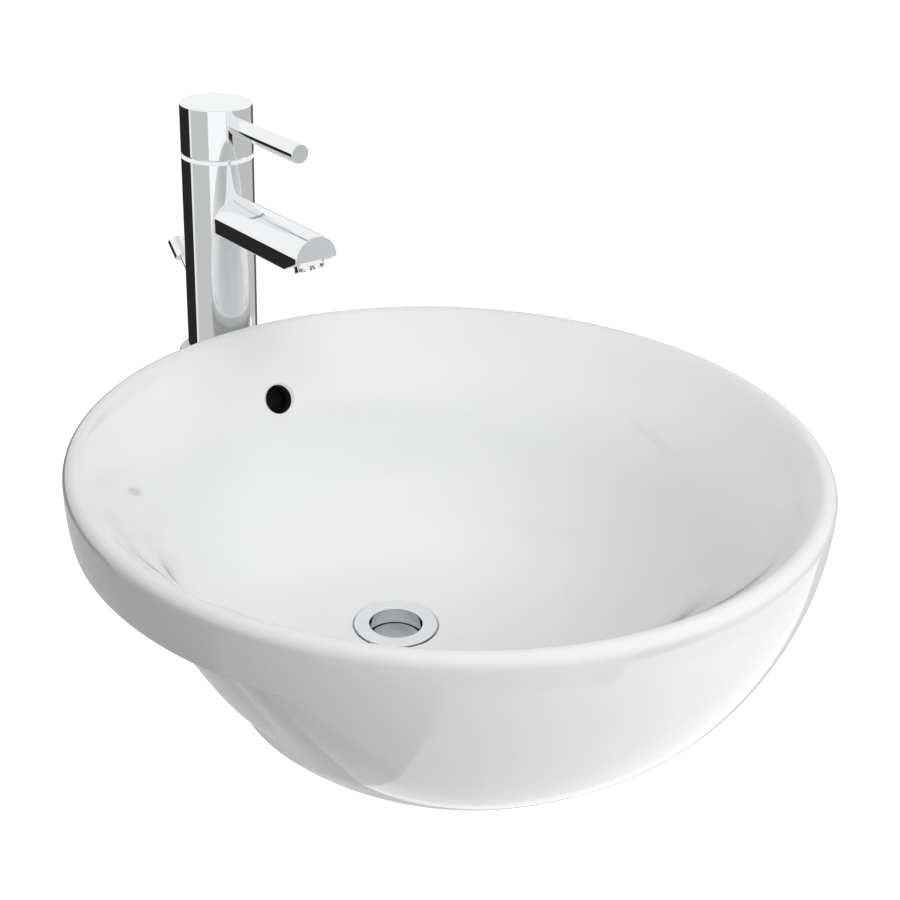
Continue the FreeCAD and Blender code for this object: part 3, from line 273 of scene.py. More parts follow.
@dataclass(frozen=True)
class OverflowShade:
    """Near-black painted shade on the rough, unglazed inside of the overflow."""

    tone: Point = (0.006, 0.006, 0.007)
    rough_low: float = 0.8
    rough_high: float = 0.95
    grain: float = 400.0
    share: float = 0.4
    relief: float = 0.0003

    def build(self, name: str) -> bpy.types.Material:
        """Make the material.

        Args:
            name: Name of the material.

        Returns:
            The material.
        """
        sheet = NodeSheet(name)
        grain = sheet.noise(self.grain, 4.0)
        sheet.tint(grain, self.tone, tuple(2 * c for c in self.tone))
        sheet.roughen(grain, self.rough_low, self.rough_high)
        sheet.bump(grain, self.share, self.relief)
        return sheet.material


@dataclass(frozen=True)
class Metal:
    """A bare or plated metal."""

    light: Point
    dark: Point
    rough_low: float
    rough_high: float
    grain: float = 120.0
    relief: float = 0.0
    stretch: Point = (1, 1, 1)
    share: float = 0.3

    def build(self, name: str) -> bpy.types.Material:
        """Make the material.

        Args:
            name: Name of the material.

        Returns:
            The material.
        """
        sheet = NodeSheet(name)
        grain = sheet.noise(self.grain, 2.0, self.stretch)
        sheet.tint(grain, self.dark, self.light)
        sheet.roughen(grain, self.rough_low, self.rough_high)
        if self.relief:
            sheet.bump(grain, self.share, self.relief)
        sheet.set(Metallic=1.0)
        return sheet.material


@dataclass(frozen=True)
class Moulded:
    """Rubber or plastic."""

    light: Point
    dark: Point
    rough_low: float
    rough_high: float
    grain: float = 500.0
    share: float = 0.2
    relief: float = 0.0001

    def build(self, name: str) -> bpy.types.Material:
        """Make the material.

        Args:
            name: Name of the material.

        Returns:
            The material.
        """
        sheet = NodeSheet(name)
        grain = sheet.noise(self.grain, 3.0)
        sheet.tint(grain, self.dark, self.light)
        sheet.roughen(grain, self.rough_low, self.rough_high)
        sheet.bump(grain, self.share, self.relief)
        return sheet.material


class Finishes:
    """One material for each slot, a near-black one that paints the shade inside the overflow and a
    satin one for the plug.
    """

    def __init__(self) -> None:
        """Build every material once."""
        self.by_slot: Dict[Slot, bpy.types.Material] = {
            Slot.GLAZE: Glaze().build("white_glaze"),
            Slot.CHROME: Metal((0.88, 0.89, 0.90), (0.86, 0.87, 0.88),
                               0.02, 0.05).build("chrome_plate"),
            Slot.RUBBER: Moulded((0.03, 0.03, 0.03), (0.015, 0.015, 0.015),
                                 0.6, 0.8).build("seal_rubber"),
            Slot.BRASS: Metal((0.72, 0.56, 0.28), (0.62, 0.47, 0.22), 0.22, 0.4, 300.0, 0.0001,
                              (1, 1, 6)).build("turned_brass"),
            Slot.PLASTIC: Moulded((0.80, 0.80, 0.78), (0.74, 0.74, 0.72),
                                  0.35, 0.5).build("pale_plastic"),
            Slot.STEEL: Metal((0.60, 0.60, 0.60), (0.50, 0.50, 0.50), 0.25, 0.4, 300.0, 0.0001,
                              (1, 1, 0.2)).build("drawn_steel"),
        }
        # Near-black painted shade for the inside of the overflow.
        self.overflow_shade = OverflowShade().build("overflow_painted_shade")
        self.satin = Metal((0.50, 0.51, 0.52), (0.42, 0.43, 0.44),
                           0.2, 0.3, 90.0).build("satin_plate")

    def dress(self, piece: bpy.types.Object, slot: Slot) -> None:
        """Give a piece the finish of a slot.

        Args:
            piece: Object to dress.
            slot: Slot of the record.
        """
        piece.data.materials.clear()
        piece.data.materials.append(self.by_slot[slot])

    def plate(self, piece: bpy.types.Object, body: Body, node: str) -> bpy.types.Object:
        """Give a piece its chrome and tie it to its body.

        Args:
            piece: The object.
            body: Body that it rides on.
            node: CAD node that it stands for.

        Returns:
            The object.
        """
        self.dress(steadied(piece), Slot.CHROME)
        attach(piece, body.value)
        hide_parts(node)
        return piece


# ---------------------------------------------------------- mesh helpers


def creased(mesh: bmesh.types.BMesh, sharp_degrees: float) -> None:
    """Shade a mesh smooth, with its sharp edges as creases.

    Args:
        mesh: The bmesh.
        sharp_degrees: Angle from which an edge shows as a crease.
    """
    for face in mesh.faces:
        face.smooth = True
    for edge in mesh.edges:
        if len(edge.link_faces) == 2:
            edge.smooth = edge.calc_face_angle(0.0) < math.radians(sharp_degrees)


def publish(mesh: bmesh.types.BMesh, name: str, sharp_degrees: float = 35.0) -> bpy.types.Object:
    """Turn a bmesh into a smooth object with sharp creases.

    Args:
        mesh: The bmesh, which is freed.
        name: Name of the object.
        sharp_degrees: Angle from which an edge shows as a crease.

    Returns:
        The object.
    """
    bmesh.ops.recalc_face_normals(mesh, faces=mesh.faces)
    creased(mesh, sharp_degrees)
    data = bpy.data.meshes.new(name)
    mesh.to_mesh(data)
    mesh.free()
    piece = bpy.data.objects.new(name, data)
    bpy.context.scene.collection.objects.link(piece)
    return piece


def picked(grown: Sequence[bmesh.types.BMVert], kind: Type) -> List:
    """Pick one kind of element from what an operator made.

    Args:
        grown: Vertices, edges and faces.
        kind: The wanted class.

    Returns:
        The elements of that class.
    """
    return [item for item in grown if isinstance(item, kind)]


def extruded(mesh: bmesh.types.BMesh, face: bmesh.types.BMFace,
             away: Point) -> List[bmesh.types.BMVert]:
    """Extrude a face along a straight way.

    Args:
        mesh: The bmesh.
        face: The face.
        away: The way, in metres.

    Returns:
        The new vertices.
    """
    grown = bmesh.ops.extrude_face_region(mesh, geom=[face])["geom"]
    verts = picked(grown, bmesh.types.BMVert)
    bmesh.ops.translate(mesh, vec=away, verts=verts)
    return verts


def steadied(piece: bpy.types.Object) -> bpy.types.Object:
    """Let the large faces set the shading, so that narrow rounds don't bend it.

    Args:
        piece: The object.

    Returns:
        The object.
    """
    even = piece.modifiers.new("even_shading", "WEIGHTED_NORMAL")
    even.keep_sharp = True
    even.weight = 100
    return piece


def rounded(corners: Sequence[Tuple[float, float, float]], steps: int = 6) -> List[Pair]:
    """Round the corners of a closed outline.

    Args:
        corners: Points with a radius each: across, along, radius.
        steps: Segments in each round.

    Returns:
        The outline's points.
    """
    points: List[Pair] = []
    count = len(corners)
    for index, (x, y, radius) in enumerate(corners):
        here = Vector((x, y))
        if radius <= 0:
            points.append((x, y))
            continue
        before = Vector(corners[index - 1][:2]) - here
        after = Vector(corners[(index + 1) % count][:2]) - here
        before.normalize()
        after.normalize()
        half = before.angle(after) / 2
        reach = radius / math.tan(half)
        middle = here + (before + after).normalized() * (radius / math.sin(half))
        start = here + before * reach - middle
        end = here + after * reach - middle
        for step in range(steps + 1):
            blend = start.slerp(end, step / steps)
            points.append(tuple(middle + blend.normalized() * radius))
    return points


def lathe(name: str, outline: Sequence[Pair], at: Point, aim: Matrix = Matrix.Identity(3),
          steps: int = ROUND) -> bpy.types.Object:
    """Spin a closed outline of radius and height pairs round an axis.

    Args:
        name: Name of the object.
        outline: Radius and height pairs in millimetres.
        at: Where the axis starts, in millimetres.
        aim: Rotation from +Z to the axis.
        steps: Segments round the axis.

    Returns:
        The object.
    """
    mesh = bmesh.new()
    verts = [mesh.verts.new((radius * MM, 0, height * MM)) for radius, height in outline]
    edges = [mesh.edges.new((verts[i], verts[(i + 1) % len(verts)])) for i in range(len(verts))
             if not (outline[i][0] < LINE and outline[(i + 1) % len(verts)][0] < LINE)]
    bmesh.ops.spin(mesh, geom=verts + edges, cent=(0, 0, 0), axis=(0, 0, 1),
                   angle=math.tau, steps=steps, use_merge=True)
    bmesh.ops.remove_doubles(mesh, verts=mesh.verts, dist=MERGE)
    bmesh.ops.transform(mesh, matrix=Matrix.Translation(Vector(at) * MM) @ aim.to_4x4(),
                        verts=mesh.verts)
    return publish(mesh, name)


def aimed(degrees: float) -> Matrix:
    """A turn about +X.

    Args:
        degrees: Angle of the turn.

    Returns:
        The rotation.
    """
    return Matrix.Rotation(math.radians(degrees), 3, "X")


def spline(knots: Sequence[Pair], count: int) -> np.ndarray:
    """Run a natural cubic curve through points.

    Args:
        knots: The points.
        count: Number of points wanted.

    Returns:
        Points along the curve, one row each.
    """
    data = np.array(knots, float)
    way = np.concatenate([[0], np.cumsum(np.linalg.norm(np.diff(data, axis=0), axis=1))])
    step = np.diff(way)
    size = len(way)
    system = np.eye(size)
    right = np.zeros((size, 2))
    for row in range(1, size - 1):
        system[row, row - 1:row + 2] = [step[row - 1], 2 * (step[row - 1] + step[row]), step[row]]
        right[row] = 6 * ((data[row + 1] - data[row]) / step[row]
                          - (data[row] - data[row - 1]) / step[row - 1])
    bend = np.linalg.solve(system, right)
    places = np.linspace(0, way[-1], count)
    index = np.clip(np.searchsorted(way, places) - 1, 0, size - 2)
    width = step[index][:, None]
    left = (way[index + 1][:, None] - places[:, None]) / width
    rest = 1 - left
    return (left * data[index] + rest * data[index + 1]
            + ((left ** 3 - left) * bend[index] + (rest ** 3 - rest) * bend[index + 1])
            * width ** 2 / 6)


def combined(base: bpy.types.Object, tools: Sequence[bpy.types.Object], operation: str,
             sharp_degrees: float) -> bpy.types.Object:
    """Join pieces to a piece, or cut them out of it, and drop them.

    Args:
        base: The piece that stays.
        tools: The pieces that are used up.
        operation: UNION or DIFFERENCE.
        sharp_degrees: Angle from which an edge shows as a crease.

    Returns:
        The changed piece.
    """
    for tool in tools:
        for material in base.data.materials:
            tool.data.materials.append(material)
        step = base.modifiers.new(tool.name, "BOOLEAN")
        step.operation = operation
        step.solver = "EXACT"
        step.object = tool
    bpy.context.view_layer.update()
    seen = base.evaluated_get(bpy.context.evaluated_depsgraph_get())
    data = bpy.data.meshes.new_from_object(seen)
    base.modifiers.clear()
    mesh = bmesh.new()
    mesh.from_mesh(data)
    bmesh.ops.remove_doubles(mesh, verts=mesh.verts, dist=MERGE)
    creased(mesh, sharp_degrees)
    mesh.to_mesh(base.data)
    mesh.free()
    bpy.data.meshes.remove(data)
    for tool in tools:
        bpy.data.objects.remove(tool)
    return base


# ------------------------------------------------------------------ basin


@dataclass
class Basin:
    """The one-piece ceramic body."""

    finishes: Finishes
    rim_radius: float = 250.0
    rim_height: float = 40.0
    rim_round: float = 7.4
    lip_slope: float = 38.0
    wall_arc: float = 206.0
    wall_turn: float = 31.3
    keel_arc: float = 129.0
    keel_slope: float = 22.0
    body_depth: float = 144.0
    belly_angle: float = 58.0
    belly_taper: float = 0.31
    corner_radius: float = 101.0
    corner_growth: float = 0.4
    rear_radius: float = 222.0
    rear_taper: float = 0.4
    rear_curve: float = 0.0023
    bowl_depth: float = 168.2
    bowl_lean: float = 1.6
    lip_depth: float = 16.0
    lip_middle: Pair = (231.0, 7.6)
    lip_lead: Pair = (0.8, 0.62)
    body_span: Pair = (0.004, 0.985)
    waste_back: float = 55.0
    seat_radius: float = 31.2
    seat_depth: float = 2.3
    seat_round: float = 0.4
    mouth_round: float = 0.6
    waste_bore: float = 23.0
    boss_radius: float = 48.0
    boss_drop: float = 24.0
    boss_fillet: float = 3.0
    boss_edge: float = 2.0
    rest_edge: float = 1.0
    foot_round: float = 2.2
    corner_share: float = 0.9
    egg_centre: float = 0.3
    crease: float = 40.0
    around: int = 384
    arc_steps: int = 200
    rear_steps: int = 25
    round_steps: int = 5
    blend_steps: int = 12
    head_steps: int = 25
    probe_steps: int = 400
    probe_near: float = 0.5
    bowl_steps: int = 70
    lip_steps: int = 24
    rim_steps: int = 12
    wall_steps: int = 8
    edge_steps: int = 3
    body_steps: int = 44
    foot_steps: int = 5
    bowl_knots: Tuple[Pair, ...] = (
        (223.0, 16.0), (198.0, 45.0), (168.0, 100.0), (140.0, 135.0), (95.0, 158.0),
        (34.0, 168.2))
    overflow_radius: float = 11.0
    overflow_tilt: float = 27.0
    overflow_height: float = -5.0
    overflow_bevel: float = 1.6
    overflow_through: float = 22.0
    overflow_lead: float = 4.0
    channel_skin: float = 9.0
    channel_gap: float = 12.0
    channel_width: float = 30.0
    channel_over: float = 4.0
    rear_end: float = 0.6
    rib_skin: float = 9.0
    rib_sunk: float = 4.0
    rib_round: float = 4.0
    tap_back: float = 282.4
    tap_hole: float = 17.5
    hole_ends: Pair = (-20.0, 40.0)
    ledge_radius: float = 34.0
    ledge_root: float = 62.0
    ledge_lift: float = 1.5
    ledge_thick: float = 9.5
    ledge_blend: float = 28.0
    ledge_round: float = 3.5
    ledge_edge: float = 1.0
    ledge_sunk: float = 2.0
    ledge_foot: float = 0.85
    ledge_overlap: float = 0.955

    def lean(self, depth: float) -> float:
        """How far the lower body's rings are set back.

        Args:
            depth: Distance under the rim.

        Returns:
            Distance towards the tap.
        """
        return self.waste_back * min(depth / self.bowl_depth, 1.0) ** self.bowl_lean

    def drift(self, depth: float) -> float:
        """How far the bowl's rings are set back.

        Args:
            depth: Distance under the rim.

        Returns:
            Distance towards the tap.
        """
        lip = self.lean(self.lip_depth)
        return self.waste_back * (self.lean(depth) - lip) / (self.waste_back - lip)

    def front_reach(self, depth: float) -> float:
        """Radius of the front wall: two arcs, then a cone.

        Args:
            depth: Distance under the rim.

        Returns:
            Radius about the rim's axis.
        """
        turn = math.radians(self.wall_turn)
        turn_radius = self.rim_radius - self.wall_arc * (1 - math.cos(turn))
        turn_depth = self.rim_round + self.wall_arc * math.sin(turn)
        if depth <= turn_depth:
            drop = (depth - self.rim_round) / self.wall_arc
            return self.rim_radius - self.wall_arc * (1 - math.sqrt(1 - drop * drop))
        middle_radius = turn_radius - self.keel_arc * math.cos(turn)
        middle_depth = turn_depth - self.keel_arc * math.sin(turn)
        last = math.radians(90 - self.keel_slope)
        cone_depth = middle_depth + self.keel_arc * math.sin(last)
        if depth <= cone_depth:
            drop = (depth - middle_depth) / self.keel_arc
            return middle_radius + self.keel_arc * math.sqrt(1 - drop * drop)
        cone_radius = middle_radius + self.keel_arc * math.cos(last)
        return cone_radius - (depth - cone_depth) / math.tan(math.radians(self.keel_slope))

    def circle(self, radius: float, back: float, height: float) -> np.ndarray:
        """A level ring of points.

        Args:
            radius: Radius of the ring.
            back: Centre of the ring along +Y.
            height: Height of the ring.

        Returns:
            The points, counted from -Y.
        """
        turn = np.arange(self.around) * math.tau / self.around
        return np.stack([radius * np.sin(turn), back - radius * np.cos(turn),
                         np.full(self.around, height)], axis=1)

    def egg(self, below: float, inset: float = 0.0) -> np.ndarray:
        """An egg shaped ring of the lower body.

        Args:
            below: Distance under the worktop.
            inset: Distance by which the outline is drawn in.

        Returns:
            The points, counted from -Y.
        """
        depth = below + self.rim_height
        front = self.front_reach(depth)
        alpha = math.radians(self.belly_angle - self.belly_taper * below)
        corner = min(self.corner_radius + self.corner_growth * below, self.corner_share * front)
        rear = self.rear_radius - self.rear_taper * below - self.rear_curve * below ** 2
        back = self.lean(depth)
        centre = ((front - corner) * math.sin(alpha), -(front - corner) * math.cos(alpha))
        away = (centre[0], centre[1] - back)
        heading = math.atan2(away[0], -away[1])
        beta = heading + math.acos((rear - corner) / math.hypot(*away))
        parts = []
        for middle, radius, start, end in (((0.0, 0.0), front, 0.0, alpha),
                                           (centre, corner, alpha, beta),
                                           ((0.0, back), rear, beta, math.pi)):
            turn = np.linspace(start, end, self.arc_steps)
            reach = radius - inset
            parts.append(np.stack([middle[0] + reach * np.sin(turn),
                                   middle[1] - reach * np.cos(turn)], axis=1))
        half = np.concatenate(parts)
        centre_y = self.egg_centre * back
        angle = np.arctan2(half[:, 0], -(half[:, 1] - centre_y))
        angle[-1] = math.pi
        radius = np.hypot(half[:, 0], half[:, 1] - centre_y)
        turn = np.arange(self.around) * math.tau / self.around
        folded = np.where(turn <= math.pi, turn, math.tau - turn)
        reach = np.interp(folded, angle, radius)
        return np.stack([reach * np.sin(turn), centre_y - reach * np.cos(turn),
                         np.full(self.around, -below)], axis=1)

    def rings(self) -> List[np.ndarray]:
        """Every ring of the body, from the waste over the rim and back under.

        Returns:
            Rings of points that close on themselves.
        """
        floor = self.rim_height - self.bowl_depth
        back = self.waste_back
        seat, edge = self.seat_round, self.rest_edge
        under = floor - self.seat_depth
        rings = [self.circle(self.waste_bore, back, under),
                 self.circle(self.seat_radius - seat, back, under),
                 self.circle(self.seat_radius, back, under + seat),
                 self.circle(self.seat_radius, back, floor - self.mouth_round),
                 self.circle(self.seat_radius + self.mouth_round, back, floor)]
        curve = spline(self.bowl_knots, self.bowl_steps)[::-1]
        for radius, depth in curve[:-1]:
            rings.append(self.circle(radius, self.drift(depth), self.rim_height - depth))
        slope = math.radians(self.lip_slope)
        top = self.rim_height - self.rim_round
        core = self.rim_radius - self.rim_round
        lip_start = (core - self.rim_round * math.sin(slope),
                     self.rim_round * (1 - math.cos(slope)))
        run = spline([tuple(curve[-4]), tuple(curve[-1]), self.lip_middle,
                      (lip_start[0] - self.lip_lead[0], lip_start[1] + self.lip_lead[1]),
                      lip_start], self.lip_steps)
        for radius, depth in run[3:-1]:
            rings.append(self.circle(radius, self.drift(max(depth, self.lip_depth)),
                                     self.rim_height - depth))
        for step in range(self.rim_steps + 1):
            turn = -slope + (math.pi / 2 + slope) * step / self.rim_steps
            rings.append(self.circle(core + self.rim_round * math.sin(turn), 0.0,
                                     top + self.rim_round * math.cos(turn)))
        for step in range(1, self.wall_steps + 1):
            depth = self.rim_round + (top - edge) * step / self.wall_steps
            rings.append(self.circle(self.front_reach(depth), 0.0, self.rim_height - depth))
        foot = self.front_reach(self.rim_height)
        for step in range(1, self.edge_steps + 1):
            rings.append(self.blend(foot, edge, math.pi / 2 * step / self.edge_steps))
        for share in np.linspace(*self.body_span, self.body_steps):
            rings.append(self.egg(share * self.body_depth))
        lip = self.foot_round
        for step in range(1, self.foot_steps + 1):
            turn = math.pi / 2 * step / self.foot_steps
            rings.append(self.egg(self.body_depth - lip + lip * math.sin(turn),
                                  lip * (1 - math.cos(turn))))
        end = -self.body_depth - self.boss_drop
        for radius, height in ((self.boss_radius + self.boss_fillet, -self.body_depth),
                               (self.boss_radius, -self.body_depth - self.boss_fillet),
                               (self.boss_radius, end + self.boss_edge),
                               (self.boss_radius - self.boss_edge, end),
                               (self.waste_bore, end)):
            rings.append(self.circle(radius, back, height))
        return rings

    def blend(self, foot: float, edge: float, turn: float) -> np.ndarray:
        """A ring where the round wall meets the level rest face.

        The ring follows the egg where the wall runs straight on at the front.

        Args:
            foot: Radius of the wall at the rest face.
            edge: Radius of the rounded edge.
            turn: Place along the rounding, from 0 to a right angle.

        Returns:
            The points.
        """
        height = edge * (1 - math.sin(turn))
        ring = self.circle(foot - edge * (1 - math.cos(turn)), 0.0, height)
        straight = self.circle(self.front_reach(self.rim_height - height), 0.0, height)
        egg = self.egg(0.0)
        gap = np.hypot(ring[:, 0], ring[:, 1]) - np.hypot(egg[:, 0], egg[:, 1])
        share = np.clip(gap / (2 * edge), 0, 1)[:, None]
        return ring * share + straight * (1 - share)

    def rear_line(self, away: float, first_depth: float) -> List[Pair]:
        """A line behind the bowl's rear wall, at a distance from its surface.

        Args:
            away: Distance from the bowl's surface.
            first_depth: Depth under the rim at which the line starts.

        Returns:
            Places along +Y and heights.
        """
        path = [(self.drift(depth) + radius, self.rim_height - depth)
                for radius, depth in spline(self.bowl_knots, self.rear_steps)
                if depth >= first_depth]
        path.append((self.waste_back + self.rear_end * self.bowl_knots[-1][0], path[-1][1]))
        line = []
        for index, (y, z) in enumerate(path):
            before, after = path[max(index - 1, 0)], path[min(index + 1, len(path) - 1)]
            along = Vector((after[0] - before[0], after[1] - before[1])).normalized()
            line.append((y - along.y * away, z + along.x * away))
        return line

    def rear_strip(self, name: str, near: float, far: float, width: float, first_depth: float,
                   rounding: float, finish: int) -> bpy.types.Object:
        """A strip that follows the bowl's rear wall down to the waste.

        Args:
            name: Name of the object.
            near: Distance of its inner side from the bowl.
            far: Distance of its outer side from the bowl.
            width: Width along X.
            first_depth: Depth under the rim at which it starts.
            rounding: Radius of its outer long edges, or 0.
            finish: Number of its material.

        Returns:
            The strip.
        """
        inner = self.rear_line(near, first_depth)
        outer = self.rear_line(far, first_depth)
        mesh = bmesh.new()
        verts = [mesh.verts.new((-width / 2 * MM, y * MM, z * MM))
                 for y, z in inner + outer[::-1]]
        side = mesh.faces.new(verts)
        extruded(mesh, side, (width * MM, 0, 0))
        if rounding:
            runs = [(Vector((y, z)) * MM) for y, z in outer]
            spots = {(round(spot.x, 6), round(spot.y, 6)) for spot in runs}
            edges = [edge for edge in mesh.edges
                     if all((round(vert.co.y, 6), round(vert.co.z, 6)) in spots
                            for vert in edge.verts)
                     and abs(edge.verts[0].co.x - edge.verts[1].co.x) < LINE]
            bmesh.ops.bevel(mesh, geom=edges, offset=rounding * MM, segments=self.round_steps,
                            profile=0.5, affect="EDGES", material=-1)
        piece = publish(mesh, name, self.crease)
        for face in piece.data.polygons:
            face.material_index = finish
        return piece

    def ledge(self) -> bpy.types.Object:
        """The tongue behind the rim that carries the tap.

        Returns:
            The tongue, which starts inside the wall.
        """
        core = self.front_reach(self.rim_height) - self.ledge_sunk
        foot = core * self.ledge_foot
        slant = math.asin((self.ledge_root - self.ledge_radius) / (self.tap_back - foot))
        side = Vector((self.ledge_radius * math.cos(slant),
                       self.tap_back + self.ledge_radius * math.sin(slant)))
        run = (side - Vector((self.ledge_root, foot))).normalized()
        outward = Vector((run.y, -run.x))
        start = Vector((self.ledge_root, foot)) + outward * self.ledge_blend
        half = start.dot(run)
        reach = math.sqrt(half ** 2 - start.length_squared + (core + self.ledge_blend) ** 2)
        middle = start + run * (reach - half)
        away = (-middle).normalized()
        blend = [middle + away.slerp(-outward, step / self.blend_steps) * self.ledge_blend
                 for step in range(self.blend_steps + 1)]
        turn = math.atan2(side.y - self.tap_back, side.x)
        head = [Vector((self.ledge_radius * math.cos(angle),
                        self.tap_back + self.ledge_radius * math.sin(angle)))
                for angle in np.linspace(turn, math.pi / 2, self.head_steps)]
        half_line = [blend[0] * self.ledge_overlap] + blend + head
        outline = half_line + [Vector((-spot.x, spot.y)) for spot in reversed(half_line[:-1])]
        mesh = bmesh.new()
        plan = mesh.faces.new([mesh.verts.new((spot.x * MM, spot.y * MM, self.ledge_lift * MM))
                               for spot in outline])
        extruded(mesh, plan, (0, 0, self.ledge_thick * MM))
        middle_height = (self.ledge_lift + self.ledge_thick / 2) * MM
        top = [edge for edge in mesh.edges
               if min(vert.co.z for vert in edge.verts) > middle_height]
        low = [edge for edge in mesh.edges
               if max(vert.co.z for vert in edge.verts) < middle_height]
        for edges, size, count in ((top, self.ledge_round, 6), (low, self.ledge_edge, 3)):
            bmesh.ops.bevel(mesh, geom=edges, offset=size * MM, segments=count, profile=0.5,
                            affect="EDGES", material=-1)
        return publish(mesh, "ledge", self.crease)

    def overflow(self) -> List[bpy.types.Object]:
        """The overflow hole through the rear wall, with a bevel at its mouth.

        Returns:
            The shapes that are cut out.
        """
        depth = self.rim_height - self.overflow_height
        radius, back = max(((r, self.drift(d)) for r, d in spline(self.bowl_knots, self.probe_steps)
                            if abs(d - depth) < self.probe_near), key=lambda ring: ring[0])
        hole, through = self.overflow_radius, self.overflow_through
        cone = 3 * self.overflow_bevel
        aim = aimed(-90 - self.overflow_tilt)
        inwards = aim @ Vector((0, 0, -1))
        spot = Vector((0, radius + back, self.overflow_height))
        bore = lathe("overflow_bore", [(0, 0), (hole, 0), (hole, through), (0, through)],
                     tuple(spot + inwards * self.overflow_lead), aim, SMALL)
        mouth = lathe("overflow_mouth", [(0, 0), (hole + cone, 0), (hole, cone), (0, cone)],
                      tuple(spot + inwards * 2 * self.overflow_bevel), aim, SMALL)
        # Material 1 is the near-black painted shade inside the bore.
        for face in bore.data.polygons:
            face.material_index = 1
        return [bore, mouth]

    def build(self) -> bpy.types.Object:
        """Build the body with its ledge and its overflow.

        Returns:
            The finished piece.
        """
        mesh = bmesh.new()
        place = mesh.verts.layers.int.new("place")
        ring = bmesh.ops.create_circle(mesh, segments=self.around, radius=1.0)["verts"]
        for index, vert in enumerate(ring):
            vert[place] = index
        edges = list(mesh.edges)
        rings = self.rings()
        for vert in ring:
            vert.co = rings[0][vert[place]] * MM
        for points in rings[1:] + rings[:1]:
            grown = bmesh.ops.extrude_edge_only(mesh, edges=edges)["geom"]
            edges = [edge for edge in picked(grown, bmesh.types.BMEdge) if edge.is_boundary]
            for vert in picked(grown, bmesh.types.BMVert):
                vert.co = points[vert[place]] * MM
        bmesh.ops.remove_doubles(mesh, verts=mesh.verts, dist=MERGE)
        piece = publish(mesh, "ceramic_body", self.crease)
        self.finishes.dress(piece, Slot.GLAZE)
        # Material 1 paints the shade inside the overflow's bore and channel.
        piece.data.materials.append(self.finishes.overflow_shade)
        behind = self.channel_skin + self.channel_gap
        rib = self.rear_strip("rib", self.rib_sunk, behind + self.rib_skin,
                              self.channel_width + 2 * self.rib_skin, self.lip_depth,
                              self.rib_round, 0)
        mouth_depth = self.rim_height - self.overflow_height
        # The channel's walls take material 1, the painted shade.
        channel = self.rear_strip("channel", self.channel_skin, behind, self.channel_width,
                                  mouth_depth - self.overflow_radius - self.channel_over, 0.0, 1)
        low, high = self.hole_ends
        hole = lathe("hole", [(0, low), (self.tap_hole, low), (self.tap_hole, high), (0, high)],
                     (0, self.tap_back, 0), steps=SMALL)
        piece = combined(piece, [self.ledge(), rib], "UNION", self.crease)
        piece = combined(piece, [channel, hole] + self.overflow(), "DIFFERENCE", self.crease)
        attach(piece, Body.FIXED.value)
        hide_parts("basin_body")
        return piece


# -------------------------------------------------------------------- tap


